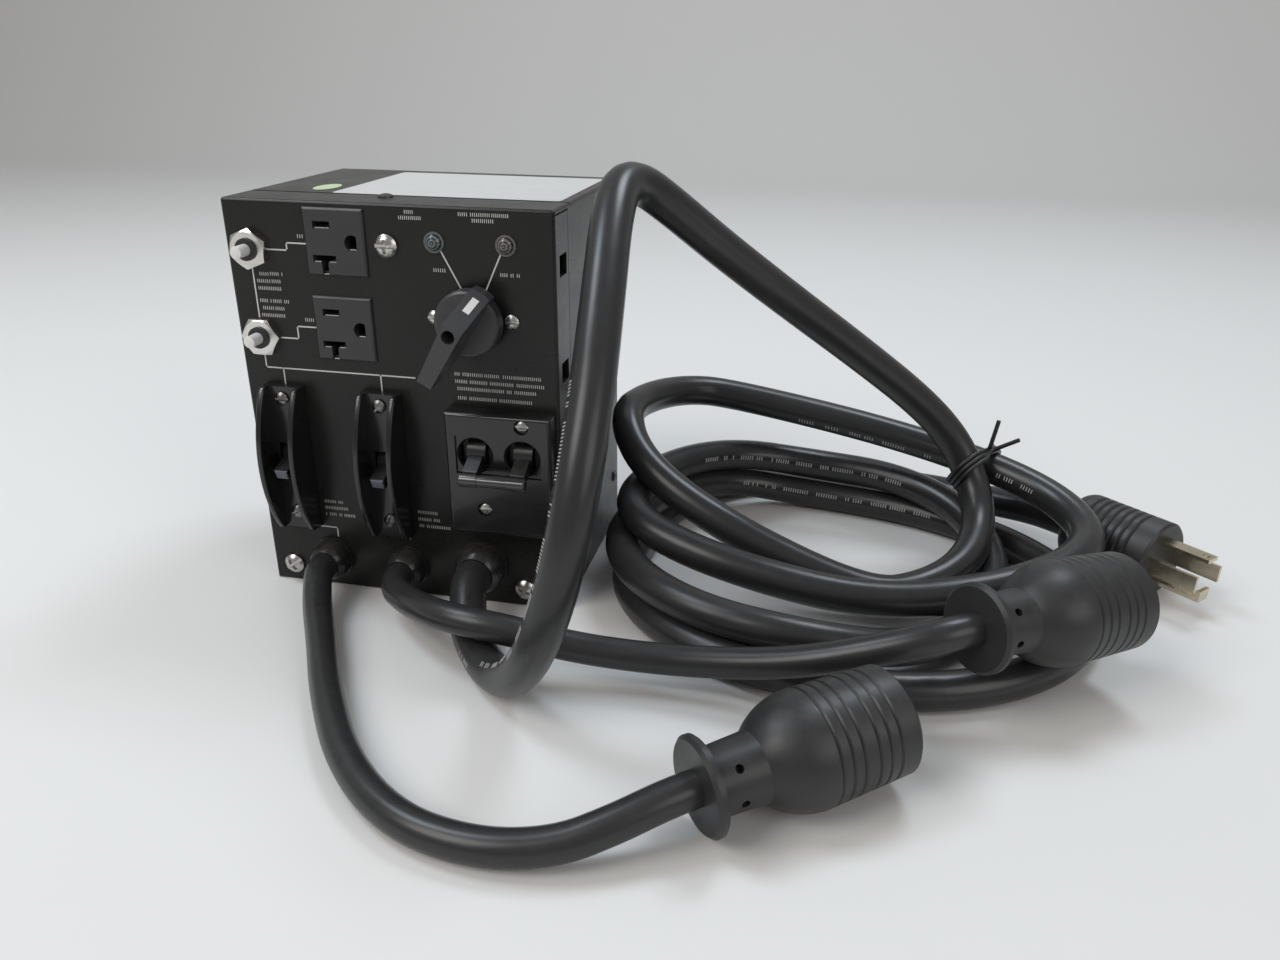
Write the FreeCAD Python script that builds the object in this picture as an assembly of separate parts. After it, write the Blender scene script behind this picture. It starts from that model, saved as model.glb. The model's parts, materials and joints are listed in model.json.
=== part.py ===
"""Maintenance-bypass power distribution unit with three captive cords.

Millimetres, +Z up, front panel facing -Y, origin at the centre of the case's underside.
Places on the panel are (x, z) pairs, and "out" is a distance in front of the panel's face.
"""
import FreeCAD
import Part
import math
import os

V = FreeCAD.Vector

# Case: a folded front tray, a U-shaped cover and a chassis of base and rear wall
case_width = 132.0
case_height = 164.0
case_depth = 97.0
sheet = 1.6
fold_radius = 1.3
side_flange = 17.0
top_flange = 21.0
seam = 0.4
lip_lap = 2.0
lip_length = 9.0
top_lip_lap = 9.0
chassis_flange = 14.0
corner_slit = 0.6
tab_slot = (9.2, 8.0)
tab_slot_back = 5.3
tab_slot_drops = (21.0, 62.0)
cover_screw_left = 60.2
cover_screw_back = 16.5
cover_screw_low = 24.0
cover_screw_drop = 28.0
cover_screw_inset = 7.0

# Screws: head diameter, head height, shank diameter, shank length
fixing_screw = (8.7, 3.2, 4.4, 9.0)
small_screw = (5.6, 2.0, 3.0, 7.0)
cover_screw = (6.0, 1.3, 3.0, 7.0)
hole_clearance = 0.2
slot_share = 0.16
cross_share = 0.6
fixing_slot_turn = 35.0
guard_slot_turn = 25.0
upper_screw_left = 66.9
upper_screw_drop = 15.2
lower_screw_left = 9.8
lower_screw_height = 8.6
relief_screw_offset = 18.2

# General fits
running_gap = 0.06
loose_gap = 0.3

# Rotary bypass switch
switch_right = 32.6
switch_drop = 41.3
switch_body_size = 44.0
switch_body_depth = 56.0
switch_screw_offset = 15.3
switch_collar_radius = 7.0
shaft_radius = 3.0
shaft_end = 15.0
shaft_depth = 14.0
skirt_radius = 12.7
skirt_low = 3.0
skirt_high = 9.0
skirt_round = 1.6
lever_top = 26.0
lever_tail = 21.3
lever_tail_width = 5.9
lever_head_width = 7.8
slope_start = 3.2
head_reach = 14.6
head_low = 9.6
tail_low = 14.5
handle_angle = 30.0
pointer_size = (7.2, 2.7)
pointer_share = 0.64
pointer_thick = 0.6
pointer_sink = 0.4
access_radius = 2.5
access_depth = 9.0
handle_screw_head = 1.8

# Indicator lamps
left_lamp_left = 85.8
right_lamp_right = 18.5
lamp_drop = 13.1
lamp_flange_radius = 3.9
lamp_flange_thick = 0.7
lamp_body_radius = 3.6
lamp_depth = 18.0
lens_radius = 3.15
lens_out = 2.8
lens_seat = 4.0

# Outlets, turned so that the earth hole is on the right
outlet_left = 46.4
outlet_drop = 14.8
outlet_pitch = 33.4
outlet_face = (24.5, 25.4)
outlet_out = 1.3
outlet_body = 21.6
outlet_depth = 21.0
outlet_round = 1.2
slot_pitch = 12.7
slot_x = -4.8
slot_width = 2.7
hot_slot_length = 7.0
neutral_slot_length = 9.5
neutral_leg = 4.6
earth_x = 7.0
earth_radius = 3.0
earth_flat = 1.9
slot_depth = 15.0
contact_length = 7.0
contact_thick = 0.8

# Push-to-reset breakers
reset_left = 10.2
reset_drops = (18.7, 53.3)
reset_nut_turns = (22.0, 0.0)
reset_nut_flats = 14.0
reset_nut_thick = 3.0
reset_bushing_radius = 4.25
reset_bushing_out = 4.0
reset_button_radius = 2.3
reset_button_out = 10.6
reset_button_tail = 6.0
reset_travel = 3.0
reset_body_height = 22.0
reset_depth = 32.0

# Output breakers behind finger guards
output_lefts = (17.2, 59.2)
breaker_share = 0.372
guard_half_width = 8.2
guard_below = 32.3
guard_above = 30.2
guard_plate = 4.0
guard_wall = 2.4
guard_out = 15.7
guard_end_out = 6.8
guard_end_round = 3.0
guard_edge_round = 0.8
guard_screw_rises = (25.3, -24.7)
toggle_width = 5.8
toggle_thick = 4.4
output_toggle_reach = 15.0
output_toggle_angle = 20.0
toggle_drum_radius = 5.0
toggle_drum_width = 7.6
toggle_pin_radius = 1.2
toggle_pin_length = 1.6
toggle_pivot_out = -1.6
toggle_window = (8.4, 11.6)
breaker_boss = (12.6, 15.0)
output_body = (19.0, 52.0)
breaker_depth = 46.0

# Two-pole input breaker: raised bezel with round handle wells and a handle tie bar
input_right = 23.0
input_rise = 1.0
bezel_size = (43.0, 51.0)
bezel_out = 8.0
bezel_round = 1.5
bezel_recess = 0.9
bezel_recess_margin = 1.0
well_radius = 6.9
well_bevel = 0.6
pole_pitch = 19.2
pole_rise = 8.3
input_pivot_out = 1.6
input_toggle_reach = 13.4
input_toggle_angle = 27.5
tie_bar_radius = 2.25
tie_bar_length = 26.6
tie_bar_sleeve_radius = 2.6
tie_bar_sleeve_length = 7.2
tie_bar_bevel = 0.4
tie_bar_hole_radius = 1.5
tie_bar_hole_depth = 1.2
tenon_size = (3.0, 2.4)
tenon_length = 2.4
bezel_screw_offsets = ((9.9, 21.6), (-6.6, -14.6))
input_body = (38.0, 50.0)

# Domed strain reliefs, at the places where the cords leave the panel
relief_radii = (8.5, 8.5, 10.6)
relief_collars = (3.6, 3.6, 4.4)
relief_reaches = (9.2, 9.2, 11.4)
relief_rim = 0.7
relief_rim_thick = 1.4
relief_thread_radii = (7.4, 7.4, 9.4)
relief_tail = 9.0
locknut_thick = 4.0
locknut_extra = 2.6

# Cords
output_cord_diameter = 11.6
input_cord_diameter = 14.6
arc_share = 0.45
output_cord_1_run = (
    (-37.0, -62.5, 14.0), (-33.6, -70.5, 12.3), (-27.6, -82.5, 9.0),
    (-16.0, -101.0, 7.0), (1.0, -130.0, 6.0), (25.0, -163.5, 6.0), (51.5, -184.5, 6.0),
    (79.0, -190.5, 6.2), (102.5, -187.0, 8.0), (119.0, -179.0, 13.0), (132.3, -169.9, 16.95),
    (139.5, -164.5, 17.4),
)
output_cord_2_run = (
    (-2.6, -62.4, 13.6), (0.6, -69.0, 13.2), (7.6, -76.5, 15.0),
    (17.6, -86.5, 18.6), (30.5, -96.0, 21.8), (45.5, -100.5, 22.9), (62.0, -99.8, 20.8),
    (82.0, -97.0, 15.5), (108.0, -94.5, 13.0), (138.0, -95.0, 15.0), (166.0, -98.0, 21.5),
    (190.0, -100.0, 31.0), (206.0, -99.5, 37.0), (216.5, -95.75, 39.4), (222.0, -91.5, 38.8),
)
input_cord_run = (
    (31.2, -66.0, 18.4), (34.0, -74.5, 15.6), (38.2, -86.0, 11.2),
    (46.0, -97.0, 8.2), (54.5, -107.0, 7.6), (64.0, -116.5, 12.0), (73.5, -127.0, 23.0),
    (83.0, -135.5, 41.0), (91.5, -138.5, 67.0), (96.0, -130.0, 97.0), (96.0, -111.0, 123.0),
    (93.5, -87.0, 146.0), (90.5, -64.0, 164.0), (89.5, -46.0, 173.5), (94.0, -34.0, 173.0),
    (105.0, -25.0, 163.0), (121.0, -15.0, 148.0), (147.0, 1.0, 125.5), (179.0, 23.0, 98.0),
    (206.0, 40.0, 74.0), (223.0, 45.0, 56.0), (233.0, 41.0, 38.5),
)
# Each loose turn: plan of its right, front, left and back ends, and its height at every eighth
coil_turns = (
    (((237, 26), (190, -28), (75.5, 18), (118, 79)), (24.5, 16, 11, 41, 65, 63, 58, 41)),
    (((281, 15), (190, -48), (84, -12), (160, 82)), (31, 28.5, 19.4, 28.5, 37.8, 34.5, 23, 23)),
    (((245, 15), (165, -80), (81, -12), (155, 81)), (9.5, 7.5, 19.9, 21.6, 22.6, 20.6, 7.4, 7.4)),
    (((280, -8), (185, -91), (84, -14), (150, 103)), (7.4,) * 8),
)
coil_step_count = 3
cord_end_route = (
    (190.0, 103.0, 8.0), (225.0, 92.0, 10.0), (248.0, 77.5, 13.0), (264.5, 65.3, 16.0),
    (275.3, 55.2, 17.1), (281.7, 49.05, 17.1),
)

# Twist tie round the two strands that cross where the coil is gathered
tie_ends = ((230.3, 41.8, 43.0), (238.1, 55.3, 40.8))
tie_across = (0.72, -0.47, -0.51)
tie_loop_radius = 9.9
tie_wire_radius = 1.1
tie_tail_length = 15.0
tie_tail_lean = 0.45

# Locking cord connectors
connector_length = 70.0
connector_flange_radius = 15.75
connector_flange_thick = 3.5
connector_flange_step = 0.8
connector_neck_radius = 10.6
connector_neck_end = 20.0
connector_bulb_radius = 19.1
connector_bulb_at = 38.0
connector_mouth_radius = 18.0
connector_neck_taper = 0.8
connector_bulb_share = (0.33, 0.58)
connector_mouth_edge = 1.2
neck_hole_radius = 1.4
neck_hole_at = 11.0
neck_hole_depth = 3.0
neck_hole_turns = (257.0, 317.0)
connector_groove_groups = 2
group_groove_count = 3
connector_groove_pitch = 4.1
connector_group_gap = 5.6
connector_groove_width = 1.3
connector_groove_depth = 0.55
connector_mouth_band = 8.5
insert_radius = 15.0
insert_depth = 8.0
insert_recess = 1.5
insert_slot = (7.0, 2.4)
insert_slot_radius = 9.0
insert_slot_depth = 5.0
blade_count = 4

# Locking plug
plug_length = 42.0
plug_back_radius = 9.5
plug_radius = 16.8
plug_shoulder = 7.0
plug_groove_count = 7
plug_groove_pitch = 3.6
plug_groove_depth = 0.7
blade_size = (7.0, 1.6)
blade_length = 20.0
blade_seat = 4.0
blade_hole_radius = 1.5
blade_foot = 3.4

# Inside the case
ground_stud_place = (-40.0, 22.0)
ground_stud_radius = 2.5
ground_stud_height = 16.0
ground_nut_flats = 8.0
ground_nut_thick = 4.0
terminal_place = (14.0, 26.0)
terminal_size = (58.0, 20.0, 14.0)
terminal_pole_count = 5
terminal_fence = 1.6
terminal_step = 6.0

# Worked out from the sizes above
front = -case_depth / 2
rear = case_depth / 2
half = case_width / 2
inner = half - sheet
panel_back = front + sheet
cover_front = front + side_flange + seam
cover_top_front = front + top_flange + seam
switch_place = (half - switch_right, case_height - switch_drop)
cover_screw_x = cover_screw_left - half
lamp_z = case_height - lamp_drop
lamp_places = {"left": (left_lamp_left - half, lamp_z), "right": (half - right_lamp_right, lamp_z)}
outlet_places = tuple((outlet_left - half, case_height - outlet_drop - row * outlet_pitch) for row in (0, 1))
reset_places = tuple((reset_left - half, case_height - drop) for drop in reset_drops)
breaker_z = breaker_share * case_height
output_places = tuple((left - half, breaker_z) for left in output_lefts)
input_place = (half - input_right, breaker_z + input_rise)
pole_z = input_place[1] + pole_rise
cord_runs = (output_cord_1_run, output_cord_2_run, input_cord_run)
relief_places = tuple((run[0][0], run[0][2]) for run in cord_runs)
cord_exits = tuple((x, front - reach, z) for (x, z), reach in zip(relief_places, relief_reaches))
output_cord_1_route = cord_exits[:1] + output_cord_1_run
output_cord_2_route = cord_exits[1:2] + output_cord_2_run
input_cord_route = cord_exits[2:] + input_cord_run


def box(x0, x1, y0, y1, z0, z1):
    """Block between two corners."""
    return Part.makeBox(x1 - x0, y1 - y0, z1 - z0, V(x0, y0, z0))


def block(x, z, width, height, low, high):
    """Block centred on a place of the panel, between two distances out from its face."""
    return box(x - width / 2, x + width / 2, front - high, front - low, z - height / 2, z + height / 2)


def rod(x, z, radius, low, high):
    """Round bar square to the panel, between two distances out from its face."""
    return Part.makeCylinder(radius, high - low, V(x, front - low, z), V(0, -1, 0))


def hex_prism(base, axis, flats, thickness, turn=0.0):
    """Hexagonal prism standing on base along axis, turned about that axis."""
    radius = flats / math.sqrt(3)
    angles = [math.radians(turn + 60 * k) for k in range(7)]
    wire = Part.makePolygon([V(radius * math.cos(a), radius * math.sin(a), 0) for a in angles])
    solid = Part.Face(wire).extrude(V(0, 0, thickness))
    solid.Placement = FreeCAD.Placement(base, FreeCAD.Rotation(V(0, 0, 1), axis))
    return solid


def outline(start, *moves):
    """Chain of edges in a plane: a move is an end point, or a pair of mid and end for an arc."""
    edges = []
    here = V(start[0], 0, start[1])
    for move in moves:
        if isinstance(move[0], tuple):
            middle = V(move[0][0], 0, move[0][1])
            there = V(move[1][0], 0, move[1][1])
            edges.append(Part.Arc(here, middle, there).toShape())
        else:
            there = V(move[0], 0, move[1])
            edges.append(Part.LineSegment(here, there).toShape())
        here = there
    return Part.Wire(edges)


def cap(radius, start, height):
    """Arc move that closes an outline on the axis with a spherical cap."""
    ball = (radius ** 2 + height ** 2) / (2 * height)
    angle = math.asin(radius / ball) / 2
    return (ball * math.sin(angle), start + height - ball * (1 - math.cos(angle))), (0, start + height)


def turned(profile, base, axis):
    """Solid of revolution of a closed (radius, distance) outline, set on base along axis."""
    solid = Part.Face(profile).revolve(V(0, 0, 0), V(0, 0, 1), 360)
    solid.Placement = FreeCAD.Placement(base, FreeCAD.Rotation(V(0, 0, 1), axis))
    return solid


def rounded(solid, radius, wanted):
    """Fillet the edges whose two end points both satisfy the test."""
    edges = [e for e in solid.Edges if all(wanted(v.Point) for v in e.Vertexes)]
    return solid.makeFillet(radius, edges)


def soft_block(x, z, width, height, low, high, radius):
    """Block on the panel with the edges of its front face rounded."""
    solid = block(x, z, width, height, low, high)
    return rounded(solid, radius, lambda p: abs(p.y - (front - high)) < 1e-6)


def pan_screw(seat, axis, sizes, slot_turn=0.0, crossed=False):
    """Pan-head screw, slotted or crossed: the head stands on its seat along axis and the shank runs back."""
    head_d, head_h, shank_d, shank_l = sizes
    edge = 0.4 * head_h
    profile = outline(
        (0, -shank_l), (shank_d / 2, -shank_l), (shank_d / 2, 0), (head_d / 2, 0), (head_d / 2, edge),
        cap(head_d / 2, edge, head_h - edge), (0, -shank_l),
    )
    screw = turned(profile, V(0, 0, 0), V(0, 0, 1))
    slot_wide = slot_share * head_d
    slot = Part.makeBox(head_d, slot_wide, head_h, V(-head_d / 2, -slot_wide / 2, edge))
    if crossed:
        cross_long = cross_share * head_d
        corner = V(-slot_wide / 2, -cross_long / 2, edge)
        slot = slot.fuse(Part.makeBox(slot_wide, cross_long, head_h, corner))
    slot.rotate(V(0, 0, 0), V(0, 0, 1), slot_turn)
    screw = screw.cut(slot)
    screw.Placement = FreeCAD.Placement(seat, FreeCAD.Rotation(V(0, 0, 1), axis))
    return screw


def panel_screw(place, sizes, seat_out=0.0, slot_turn=0.0, crossed=False):
    return pan_screw(V(place[0], front - seat_out, place[1]), V(0, -1, 0), sizes, slot_turn, crossed)


def screw_hole(place, sizes, low, high):
    return rod(place[0], place[1], sizes[2] / 2 + hole_clearance, low, high)


# Screw places worked out from the case, the switch, the guards and the bezel
fixing_screw_places = (
    (upper_screw_left - half, case_height - upper_screw_drop), (lower_screw_left - half, lower_screw_height),
    (relief_places[2][0] + relief_screw_offset, lower_screw_height))
tab_slot_heights = tuple(case_height - drop for drop in tab_slot_drops)
switch_screw_places = tuple(
    (switch_place[0] + side * switch_screw_offset, switch_place[1]) for side in (-1, 1))
guard_screw_places = tuple((x, z + rise) for x, z in output_places for rise in guard_screw_rises)
bezel_screw_places = tuple(
    (input_place[0] + across, input_place[1] + rise) for across, rise in bezel_screw_offsets)
pole_places = tuple((input_place[0] + side * pole_pitch / 2, pole_z) for side in (-1, 1))
cover_screw_heights = (cover_screw_low, case_height - cover_screw_drop)
cover_side_screws = tuple((side, z) for side in (-1, 1) for z in cover_screw_heights)


def panel_openings():
    """Everything that is punched through the front panel."""
    behind = -2 * sheet
    ahead = sheet
    cuts = [screw_hole(p, fixing_screw, behind, ahead) for p in fixing_screw_places]
    cuts += [screw_hole(p, small_screw, behind, ahead) for p in switch_screw_places + guard_screw_places]
    cuts.append(rod(*switch_place, switch_collar_radius + hole_clearance, behind, ahead))
    for place in lamp_places.values():
        cuts.append(rod(*place, lamp_body_radius + hole_clearance, behind, ahead))
    for place in reset_places:
        cuts.append(rod(*place, reset_bushing_radius + hole_clearance, behind, ahead))
    for place in outlet_places:
        opening = outlet_body + 2 * hole_clearance
        cuts.append(block(*place, opening, opening, behind, ahead))
    window = (breaker_boss[0] + 2 * hole_clearance, breaker_boss[1] + 2 * hole_clearance)
    for place in output_places + pole_places:
        cuts.append(block(*place, *window, behind, ahead))
    cuts += [screw_hole(p, small_screw, behind, ahead) for p in bezel_screw_places]
    for place, radius in zip(relief_places, relief_thread_radii):
        cuts.append(rod(*place, radius + hole_clearance, behind, ahead))
    return cuts


def make_front_panel():
    """Folded tray: panel, four flanges, open corner slits and tab slots in the side flanges."""
    tray = box(-half, half, front, front + top_flange, 0, case_height)
    tray = rounded(tray, fold_radius, lambda p: p.y < front + 1e-6 or p.z > case_height - 1e-6)
    tray = tray.cut(box(-inner, inner, panel_back, rear, sheet, case_height - sheet))
    tray = tray.cut(box(-case_width, case_width, front + side_flange, rear, -sheet, case_height - sheet))
    cuts = panel_openings()
    slit_low = case_height - sheet - corner_slit
    slit_front = front + fold_radius
    for side in (-1, 1):
        near, far = sorted((side * (inner - corner_slit), side * (half + corner_slit)))
        cuts.append(box(near, far, slit_front, rear, slit_low, slit_low + corner_slit))
        for z in tab_slot_heights:
            back = front + tab_slot_back
            cuts.append(box(near, far, back, back + tab_slot[0], z - tab_slot[1] / 2, z + tab_slot[1] / 2))
    top_hole = Part.makeCylinder(
        small_screw[2] / 2 + hole_clearance, 3 * sheet,
        V(cover_screw_x, front + cover_screw_back, case_height - 2 * sheet))
    return tray.cut(Part.makeCompound(cuts + [top_hole]))


def make_cover():
    """U-shaped cover whose front edge is joggled inwards to run under the tray's flanges."""
    shell = box(-half, half, cover_front, rear, 0, case_height)
    long_top = [e for e in shell.Edges
                if all(v.Point.z > case_height - 1e-6 for v in e.Vertexes)
                and abs(e.Vertexes[0].Point.y - e.Vertexes[1].Point.y) > 1]
    shell = shell.makeFillet(fold_radius, long_top)
    shell = shell.cut(box(-inner, inner, front, rear + 1, -1, case_height - sheet))
    shell = shell.cut(box(-case_width, case_width, front, cover_top_front,
                          case_height - sheet, case_height + 1))
    lip_low = sheet + chassis_flange
    for side in (-1, 1):
        near, far = sorted((side * (inner - sheet), side * inner))
        lip = box(near, far, front + side_flange - lip_lap, cover_front + lip_length,
                  lip_low, case_height - sheet)
        shell = shell.fuse(lip)
    top_lip = box(-inner, inner, front + top_flange - top_lip_lap, cover_top_front + lip_length,
                  case_height - 2 * sheet, case_height - sheet)
    shell = shell.fuse(top_lip)
    thread_radius = small_screw[2] / 2 + hole_clearance
    cuts = [Part.makeCylinder(thread_radius, 4 * sheet,
                              V(cover_screw_x, front + cover_screw_back, case_height - 3 * sheet))]
    for side, z in cover_side_screws:
        start = V(side * (inner - 2 * sheet), rear - cover_screw_inset, z)
        cuts.append(Part.makeCylinder(thread_radius, 4 * sheet, start, V(side, 0, 0)))
    return shell.cut(Part.makeCompound(cuts)).removeSplitter()


def make_chassis():
    """Base and rear wall folded from one sheet, with side flanges that the cover is screwed to."""
    chassis = box(-inner, inner, cover_front, rear, 0, sheet)
    chassis = chassis.fuse(box(-inner, inner, rear - sheet, rear, 0, case_height - sheet))
    for side in (-1, 1):
        near, far = sorted((side * (inner - sheet), side * inner))
        chassis = chassis.fuse(box(near, far, cover_front, rear, 0, chassis_flange))
        rear_flange = box(near, far, rear - chassis_flange, rear, 0, case_height - 2 * sheet)
        chassis = chassis.fuse(rear_flange)
    lip = box(-inner + sheet, inner - sheet, front + side_flange - lip_lap, cover_front + lip_length,
              sheet, 2 * sheet)
    chassis = chassis.fuse(lip)
    thread_radius = small_screw[2] / 2 + hole_clearance
    cuts = []
    for side, z in cover_side_screws:
        start = V(side * (inner - 2 * sheet), rear - cover_screw_inset, z)
        cuts.append(Part.makeCylinder(thread_radius, 4 * sheet, start, V(side, 0, 0)))
    cuts.append(Part.makeCylinder(ground_stud_radius, 4 * sheet, V(*ground_stud_place, -2 * sheet)))
    return chassis.cut(Part.makeCompound(cuts)).removeSplitter()


def make_cover_screws():
    top = pan_screw(V(cover_screw_x, front + cover_screw_back, case_height), V(0, 0, 1), cover_screw)
    sides = [pan_screw(V(side * half, rear - cover_screw_inset, z), V(side, 0, 0), cover_screw)
             for side, z in cover_side_screws]
    return Part.makeCompound([top] + sides)


def handle_frame(solid):
    """Move a solid from handle axes (along lever, across, out) to the switch at its rest angle."""
    lever = V(math.sin(math.radians(handle_angle)), 0, math.cos(math.radians(handle_angle)))
    outwards = V(0, -1, 0)
    across = outwards.cross(lever)
    matrix = FreeCAD.Matrix(
        lever.x, across.x, outwards.x, switch_place[0],
        lever.y, across.y, outwards.y, front,
        lever.z, across.z, outwards.z, switch_place[1],
        0, 0, 0, 1)
    moved = solid.copy()
    moved.Placement = FreeCAD.Placement(matrix).multiply(solid.Placement)
    return moved


def slope_pointer(thickness, sink):
    """Thin plate lying on the handle's sloped head, sunk a little below its face."""
    run = head_reach - slope_start
    fall = lever_top - head_low
    angle = math.degrees(math.atan2(fall, run))
    length, width = pointer_size
    plate = Part.makeBox(length, width, thickness, V(-length / 2, -width / 2, -sink))
    plate.rotate(V(0, 0, 0), V(0, 1, 0), angle)
    plate.translate(V(slope_start + pointer_share * run, 0, lever_top - pointer_share * fall))
    return plate


def make_handle():
    """Moulded handle: round skirt and a tall tapered lever with a sloped face at its head."""
    skirt = Part.makeCylinder(skirt_radius, skirt_high - skirt_low, V(0, 0, skirt_low))
    skirt = rounded(skirt, skirt_round, lambda p: p.z > skirt_high - 1e-6)
    undercut = skirt_high - tail_low
    side_view = Part.makePolygon([V(*p) for p in (
        (-lever_tail, -head_reach, lever_top), (slope_start, -head_reach, lever_top),
        (head_reach, -head_reach, head_low), (head_reach, -head_reach, skirt_low + skirt_round),
        (-skirt_radius + skirt_round, -head_reach, skirt_low + skirt_round),
        (-skirt_radius + skirt_round, -head_reach, skirt_high),
        (-lever_tail - undercut / 4, -head_reach, tail_low), (-lever_tail, -head_reach, lever_top))])
    lever = Part.Face(side_view).extrude(V(0, 2 * head_reach, 0))
    plan = Part.makePolygon([V(*p) for p in (
        (-2 * lever_tail, -lever_tail_width / 2, 0), (-lever_tail, -lever_tail_width / 2, 0),
        (slope_start, -lever_head_width / 2, 0), (head_reach, -lever_head_width / 2, 0),
        (head_reach, lever_head_width / 2, 0), (slope_start, lever_head_width / 2, 0),
        (-lever_tail, lever_tail_width / 2, 0), (-2 * lever_tail, lever_tail_width / 2, 0),
        (-2 * lever_tail, -lever_tail_width / 2, 0))])
    lever = lever.common(Part.Face(plan).extrude(V(0, 0, lever_top + 1)))
    rim = Part.makeCylinder(head_reach, lever_top + 1)
    behind = V(-2 * lever_tail, -head_reach, 0)
    rim = rim.fuse(Part.makeBox(2 * lever_tail, 2 * head_reach, lever_top + 1, behind))
    handle = skirt.fuse(lever.common(rim)).removeSplitter()
    bore = Part.makeCylinder(shaft_radius + running_gap, shaft_end, V(0, 0, 0))
    access = Part.makeCylinder(access_radius, access_depth, V(0, 0, lever_top - access_depth))
    shank = Part.makeCylinder(small_screw[2] / 2, lever_top, V(0, 0, 0))
    handle = handle.cut(bore).cut(access).cut(shank)
    handle = handle.cut(slope_pointer(2 * pointer_thick, pointer_sink))
    return handle_frame(handle)


def make_handle_screw():
    """Screw at the bottom of the access hole that draws the handle onto the shaft."""
    seat = lever_top - access_depth
    head, shank = 2 * (access_radius - hole_clearance), small_screw[2] - 2 * hole_clearance
    sizes = (head, handle_screw_head, shank, seat - shaft_end)
    return handle_frame(pan_screw(V(0, 0, seat), V(0, 0, 1), sizes))


def make_switch_body():
    """Switch block behind the panel with a round collar through it, bored for the shaft."""
    x, z = switch_place
    body = block(x, z, switch_body_size, switch_body_size, -sheet - switch_body_depth, -sheet)
    body = body.fuse(rod(x, z, switch_collar_radius, -sheet, 0))
    holes = [rod(x, z, shaft_radius + running_gap, -shaft_depth, sheet)]
    holes += [screw_hole(p, small_screw, -small_screw[3] - sheet, sheet) for p in switch_screw_places]
    return body.cut(Part.makeCompound(holes))


def make_lamp(place):
    """Panel lamp: flanged housing with a cup for the lens, and a domed lens."""
    x, z = place
    housing = rod(x, z, lamp_flange_radius, 0, lamp_flange_thick)
    housing = housing.fuse(rod(x, z, lamp_body_radius, -lamp_depth, 0))
    housing = housing.cut(rod(x, z, lens_radius, -lens_seat, lens_out))
    dome_start = lamp_flange_thick
    profile = outline(
        (0, -lens_seat), (lens_radius, -lens_seat), (lens_radius, dome_start),
        cap(lens_radius, dome_start, lens_out - dome_start), (0, -lens_seat))
    return housing, turned(profile, V(x, front, z), V(0, -1, 0))


def outlet_slots(x, z):
    """Live slot, T-shaped neutral slot and D-shaped earth hole of one turned outlet."""
    high = outlet_out + 1
    low = outlet_out - slot_depth
    upper = z + slot_pitch / 2
    lower = z - slot_pitch / 2
    hot = block(x + slot_x, upper, hot_slot_length, slot_width, low, high)
    neutral = block(x + slot_x, lower, neutral_slot_length, slot_width, low, high)
    leg = block(x + slot_x, lower - neutral_leg / 2, slot_width, neutral_leg + slot_width, low, high)
    earth = rod(x + earth_x, z, earth_radius, low, high)
    flat_x = x + earth_x + earth_flat + earth_radius
    earth = earth.cut(block(flat_x, z, 2 * earth_radius, 3 * earth_radius, low, high))
    return [hot, neutral.fuse(leg), earth]


def make_outlet(place):
    """Outlet with a raised square face, and its three sprung contacts."""
    x, z = place
    face = soft_block(x, z, *outlet_face, 0, outlet_out, outlet_round)
    outlet = face.fuse(block(x, z, outlet_body, outlet_body, -outlet_depth, 0))
    outlet = outlet.cut(Part.makeCompound(outlet_slots(x, z)))
    low = outlet_out - slot_depth
    high = low + contact_length
    contacts = [block(x + slot_x, z + side * slot_pitch / 2, hot_slot_length - 1, contact_thick, low, high)
                for side in (-1, 1)]
    contacts.append(block(x + earth_x, z, contact_thick, earth_radius, low, high))
    return outlet, Part.makeCompound(contacts)


def make_reset_breaker(place, nut_turn):
    """Push-to-reset breaker: body with a bushing, panel nut and button."""
    x, z = place
    width = 2 * (inner - sheet - loose_gap - abs(x))
    body = block(x, z, width, reset_body_height, -sheet - reset_depth, -sheet)
    body = body.fuse(rod(x, z, reset_bushing_radius, -sheet, reset_bushing_out))
    bore_end = -reset_button_tail - reset_travel - loose_gap
    body = body.cut(rod(x, z, reset_button_radius + running_gap, bore_end, reset_bushing_out + 1))
    nut = hex_prism(V(x, front, z), V(0, -1, 0), reset_nut_flats, reset_nut_thick, nut_turn)
    nut = nut.cut(rod(x, z, reset_bushing_radius + running_gap, -1, reset_nut_thick + 1))
    crown = reset_button_radius / 6
    profile = outline(
        (0, -reset_button_tail), (reset_button_radius, -reset_button_tail),
        (reset_button_radius, reset_button_out - crown),
        cap(reset_button_radius, reset_button_out - crown, crown), (0, -reset_button_tail))
    button = turned(profile, V(x, front, z), V(0, -1, 0))
    return body, nut, button


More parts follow.
